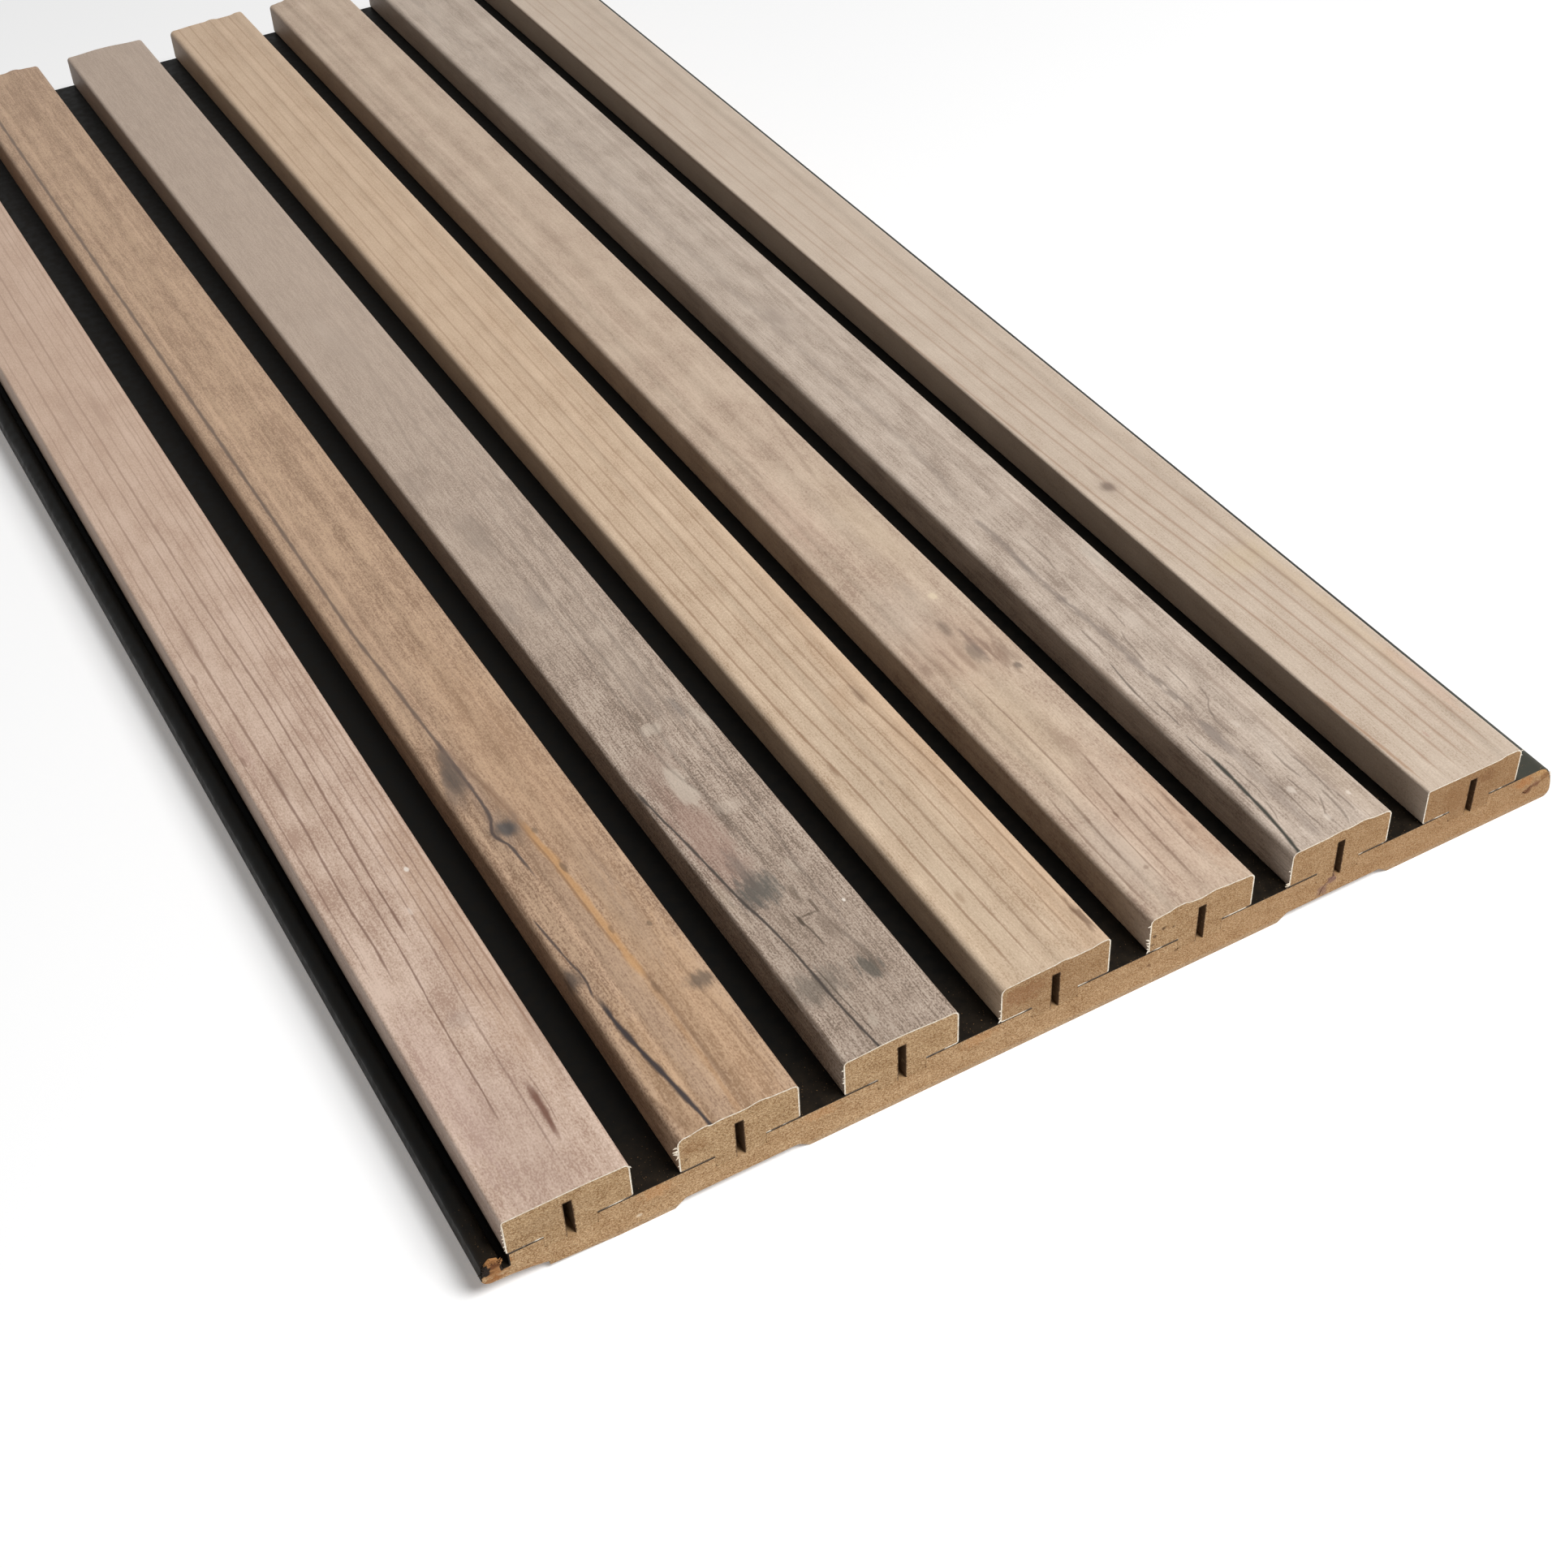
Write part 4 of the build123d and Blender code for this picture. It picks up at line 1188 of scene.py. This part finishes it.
# %% Backboard and cores
board_stains = [
    stain((-3.2, -1.5), (3.6, 4.2), 0.8, (160, 108, 60), soft=0.35, frayed=0.5),
    stain((-2.9, -2.0), (1.7, 0.7), 0.85, (96, 54, 26), frayed=0.7),
    stain((-3.3, -1.0), (0.8, 0.4), 0.8, (86, 46, 22), frayed=0.6),
    stain((-4.6, -3.6), (1.6, 0.5), 0.6, (104, 66, 36), frayed=0.7),
    stain((-5.6, -2.0), (1.4, 2.2), 0.97, (14, 12, 10), soft=0.2, frayed=0.6),
    stain((-1.5, -3.0), (0.5, 1.6), 0.95, (14, 12, 10), soft=0.2, frayed=0.5),
    stain((-3.8, -6.2), (3.0, 0.7), 0.6, (146, 92, 46), frayed=0.6),
    stain((4, -7.6), (4, 0.8), 0.3, (156, 104, 60), frayed=0.6),
    stain((288, -6), (1.6, 1.0), 0.75, (98, 56, 34), frayed=0.6),
    stain((290.5, -4.8), (1.4, 0.9), 0.65, (104, 60, 44), frayed=0.6),
    stain((293.5, -3.2), (1.3, 1.5), 0.55, (122, 78, 36), frayed=0.6),
    stain((292, -1.2), (2.6, 1.2), 0.5, (205, 160, 104), frayed=0.6),
    stain((286, -2.2), (3, 1.6), 0.45, (180, 116, 62), frayed=0.8),
    stain((224, -4.5), (1.3, 1.4), 0.7, (110, 78, 80), frayed=0.7),
    stain((221.5, -7), (1.4, 2.0), 0.55, (120, 90, 88), frayed=0.7),
    stain((36, -2.2), (4, 1.8), 0.35, (190, 132, 80), frayed=0.8),
    stain((78, -2), (4, 1.6), 0.3, (186, 128, 76), frayed=0.8),
    stain((120, -2), (4, 1.6), 0.3, (184, 126, 74), frayed=0.8),
    stain((31.3, -7.7), (0.7, 0.5), 0.8, (226, 206, 178), frayed=0.3),
    stain((176.5, -3.5), (0.6, 0.4), 0.7, (84, 54, 32), frayed=0.3),
    stain((168.5, -4.5), (0.5, 0.4), 0.6, (90, 58, 36), frayed=0.3),
    # Painted shade: a grey band along the board's lower edge, where it meets the floor.
    stain((150, -10.6), (190, 0.6), 0.35, (176, 158, 134), soft=0.6, frayed=0.3),
]
board_tones = {"Pale": paint(206, 174, 136), "Middle": paint(178, 144, 105), "Dark": paint(140, 104, 68)}
board_fibreboard = fibreboard_material("board_fibreboard", board_tones, board_stains)


def dress(node, material):
    """Gives a carried-over piece one material."""
    mesh = bpy.data.objects[node].data
    mesh.materials.clear()
    mesh.materials.append(material)


dress("backboard", board_fibreboard)
for number in SLATS:
    dress(f"slat_{number}_core", slat_fibreboard)
print("stains on the board:", len(board_stains))

# %% [markdown]
# ## Black face film
#
# The face of the board is laminated with a thin black film. It is dull and mirrors almost nothing, so the
# gaps between the slats stay dark. On the right lip a grey sheen is painted in, strongest near the cut.
# Brown saw dust lies on it near the cut, thickest at the edge.

# %% Black film
dust_reach, haze_reach = 45.0, 25.0
full_sheen_within, darker_beyond = 10.0, 90.0
black_film, pen, shader = new_material("black_film", roughness=0.5, specular=0.06)
place = pen.place()
at = pen.split(place)
cloud = pen.noise(place, scale=0.35, detail=3.0)
color = pen.mix(pen.ramp(cloud, 0.3, 0.7), paint(8, 8, 7), paint(16, 14, 11))
from_cut = pen.minus(at["Y"], sawn_end)
right_side = left_sides[7] + slat_width
# Painted sheen: the right lip's colour is greyed in place of a reflection, strongest near the cut.
on_right_lip = pen.ramp(at["X"], right_side, right_side + 2.0, 0.0, 0.9)
painted_sheen = pen.times(on_right_lip, pen.ramp(from_cut, full_sheen_within, darker_beyond, 1.0, 0.3))
color = pen.mix(painted_sheen, color, paint(62, 64, 58))
dust = pen.noise(place, scale=2.2, detail=1.0)
rare = pen.ramp(from_cut, 0.0, dust_reach, 0.7, 0.82)
speck = pen.ramp(dust, rare, pen.add(rare, 0.05), 0.0, 0.6)
color = pen.mix(speck, color, paint(128, 98, 66))
haze = pen.ramp(from_cut, 0.0, haze_reach, 0.07, 0.0)
color = pen.mix(pen.times(haze, cloud), color, paint(126, 104, 80))
pen.link(color, shader["Base Color"])
pen.link(pen.ramp(cloud, 0.3, 0.7, 0.45, 0.6), shader["Roughness"])
dress("face_film", black_film)
print(black_film.name, "has", len(black_film.node_tree.nodes), "nodes")

# %% [markdown]
# ## What the saw tore
#
# A saw that leaves the panel downwards lifts shreds of film off the left edges of the slats, and tears
# fibres out of the two thin lips. Each shred or fibre is a small blade: a flat bar along a bowed line that
# tapers to a point. All blades of one kind make one piece. The places come from the photograph, written as
# start and tip in millimetres across the panel and above the slats' feet, and the width of the blade's
# root.

# %% Blades
blade_steps = 5
point_width = 0.02


def blade_mesh(name, roots, tips, widths, thickness, bow):
    """Closed tapered bars. The centre line is root + t (tip - root) + 4 t (1 - t) bow, and the half width
    is w / 2 (1 - t)^0.7, with t from 0 to 1."""
    steps = np.linspace(0.0, 1.0, blade_steps)
    roots, tips, bow = (np.asarray(each, float) for each in (roots, tips, bow))
    share = steps[None, :, None]
    centre = roots[:, None] + share * (tips - roots)[:, None] + 4 * share * (1 - share) * bow[:, None]
    along = (tips - roots) / np.linalg.norm(tips - roots, axis=1)[:, None]
    towards_saw = np.array([0.0, -1.0, 0.0])
    side = np.cross(along, towards_saw)
    side /= np.linalg.norm(side, axis=1)[:, None]
    flat = np.cross(side, along)
    half = 0.5 * np.asarray(widths)[:, None] * np.maximum(1.0 - steps, point_width) ** 0.7
    thick = 0.5 * thickness * (1.0 - 0.6 * steps)
    wide, deep = half[..., None] * side[:, None], thick[None, :, None] * flat[:, None]
    sides = [centre - wide - deep, centre + wide - deep, centre + wide + deep, centre - wide + deep]
    ring = np.stack(sides, 2)
    index = np.arange(ring.size // 3).reshape(ring.shape[:3])
    beside = np.roll(index, -1, axis=2)
    walls = np.stack([index[:, :-1], index[:, 1:], beside[:, 1:], beside[:, :-1]], -1).reshape(-1, 4)
    quads = np.concatenate([walls, index[:, 0], index[:, -1, ::-1]])
    piece = mesh_object(name, ring.reshape(-1, 3) * MM, quads)
    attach(piece, "root")
    return piece


def at_cut(places, depth):
    """Points from pairs of distance across and height above the feet, at a depth behind the sawn end."""
    across, height = np.asarray(places, float).T
    deep = np.broadcast_to(sawn_end + np.asarray(depth, float), across.shape)
    return np.stack([left_sides[1] + across, deep, foot_height + height], 1)


# %% [markdown]
# The shreds on the film's edges stand out to the left. The largest sit low on the fifth and sixth slat,
# and the second slat carries a tuft two thirds of the way up.

# %% Shreds of film
shreds = [
    ((42.1, 8.6), (40.9, 8.9), 0.5), ((42.1, 7.4), (40.6, 8.3), 0.8), ((42.1, 6.4), (40.8, 7.2), 0.7),
    ((42.1, 5.8), (41.2, 5.5), 0.5), ((42.1, 2.4), (41.7, 2.6), 0.4),
    ((84.1, 8.5), (83.4, 8.8), 0.5), ((84.1, 6.2), (83.5, 6.4), 0.4), ((84.1, 4.6), (83.5, 4.8), 0.5),
    ((84.1, 5.3), (83.7, 5.5), 0.3), ((84.1, 7.4), (83.8, 7.4), 0.3),
    ((126.1, 4.0), (125.4, 4.6), 0.5), ((126.1, 1.6), (125.4, 1.8), 0.4), ((126.1, 0.8), (125.2, 0.4), 0.6),
    ((126.1, 2.5), (125.7, 2.7), 0.3), ((126.1, 6.4), (125.8, 6.6), 0.3),
    ((168.1, 9.2), (167.0, 9.7), 0.4), ((168.1, 4.2), (166.7, 5.5), 0.5), ((168.1, 3.4), (166.8, 4.3), 0.4),
    ((168.1, 2.2), (167.0, 3.5), 0.5), ((168.1, 1.2), (167.4, 1.8), 0.4), ((168.1, 0.5), (167.3, 0.1), 0.8),
    ((168.1, 6.6), (167.8, 6.8), 0.3),
    ((210.1, 0.9), (208.7, 1.9), 0.9), ((210.1, 0.4), (208.8, 0.9), 0.9), ((210.1, 0.2), (209.0, 0.2), 0.7),
    ((210.1, 5.2), (209.3, 5.6), 0.4), ((210.1, 4.2), (209.6, 4.4), 0.3), ((210.1, 6.6), (209.7, 6.8), 0.3),
    ((0.1, 1.4), (-0.3, 1.6), 0.4), ((0.1, 2.9), (-0.4, 3.1), 0.4), ((0.1, 4.4), (-0.3, 4.5), 0.3),
    ((0.1, 5.6), (-0.4, 5.9), 0.4), ((0.1, 7.1), (-0.3, 7.3), 0.4), ((0.1, 8.6), (-0.3, 8.7), 0.3),
    ((30.4, 9.9), (30.9, 9.5), 0.5), ((282.4, 10.4), (282.8, 10.9), 0.5), ((282.4, 8.9), (282.7, 9.1), 0.4),
]
shred_thickness = 0.16
root_depth = 0.12
rng = np.random.default_rng(7)
starts, ends, widths = zip(*shreds)
bow = rng.uniform(-0.12, 0.12, (len(shreds), 3))
tips = at_cut(ends, rng.uniform(-0.35, 0.05, len(shreds)))
film_shreds = blade_mesh("film_shreds", at_cut(starts, root_depth), tips, widths, shred_thickness, bow)
film_shreds.data.materials.append(cut_paper)
print(len(shreds), "shreds,", len(film_shreds.data.polygons), "faces")

# %% [markdown]
# The lips were torn rather than cut. On the left rib a tuft of orange fibres stands on the crown and black
# whiskers of face film beside it, and on the right lip pale fibres bristle where the face film has come
# away. Their places are drawn at random along a stretch of each lip's outline, always with the same seed.
# Each tuft below has its outline, its count, its shortest and longest blade, its narrowest and widest, the
# point that the blades lean away from, its seed, its material, and the piece that it grew from.

# %% Torn fibres and whiskers
fibre_thickness = 0.12
scatter = 0.45
sunk_share = 0.15


def bristles(name, outline, count, length, width, lean, seed):
    """Blades with roots spread at random over an outline and tips pushed away from the point `lean`. Each
    direction is the unit vector from that point plus a random one."""
    rng = np.random.default_rng(seed)
    outline = np.asarray(outline, float)
    turns = np.linspace(0.0, 1.0, len(outline))
    share = rng.random(count)
    roots = np.stack([np.interp(share, turns, outline[:, axis]) for axis in (0, 1)], 1)
    away = roots - np.asarray(lean, float)
    away /= np.linalg.norm(away, axis=1)[:, None]
    away += rng.normal(0.0, scatter, away.shape)
    tips = roots + away * rng.uniform(*length, (count, 1))
    roots -= away * sunk_share
    roots = at_cut(roots, rng.uniform(0.05, 0.5, count))
    tips = at_cut(tips, rng.uniform(-0.5, 0.4, count))
    widths = rng.uniform(*width, count)
    bow = rng.normal(0.0, 0.08, (count, 3))
    return blade_mesh(name, roots, tips, widths, fibre_thickness, bow)


torn_fibre, pen, shader = new_material("torn_fibre", roughness=0.9, specular=0.15)
place = pen.place()
orange = pen.ramp(pen.split(place)["X"], left_sides[1], left_sides[7], 0.75, 0.1)
grit = pen.noise(place, scale=2.5, detail=2.0)
dark_fibre = pen.mix(orange, paint(176, 136, 92), paint(110, 62, 28))
pale_fibre = pen.mix(orange, paint(222, 188, 142), paint(190, 128, 70))
pen.link(pen.mix(pen.ramp(grit, 0.35, 0.65), dark_fibre, pale_fibre), shader["Base Color"])

rib_crown = [(-4.3, -1.1), (-3.7, -0.7), (-3.0, -0.5), (-2.4, -0.9), (-1.9, -1.7), (-1.6, -2.6)]
rib_side = [(-6.1, -3.0), (-5.9, -2.2), (-5.4, -1.3), (-4.6, -0.6), (-2.2, -0.8), (-1.7, -2.2)]
lip_corner = [(290.6, -0.9), (292.4, -1.3), (293.5, -2.1), (294.2, -3.0), (294.9, -4.6)]
tufts = {
    "left_lip_fibres": (rib_crown, 44, (0.4, 1.2), (0.3, 0.6), (-3.2, -4.5), 3, torn_fibre, "backboard"),
    "left_lip_whiskers": (rib_side, 32, (0.3, 1.0), (0.25, 0.5), (-4.2, -6.5), 5, black_film, "face_film"),
    "right_lip_fibres": (lip_corner, 40, (0.3, 0.8), (0.2, 0.45), (289.5, -6.0), 9, torn_fibre, "backboard"),
}
for name, (outline, count, length, width, lean, seed, material, node) in tufts.items():
    tuft = bristles(name, outline, count, length, width, lean, seed)
    tuft.data.materials.append(material)
    print(name, len(tuft.data.polygons), "faces")
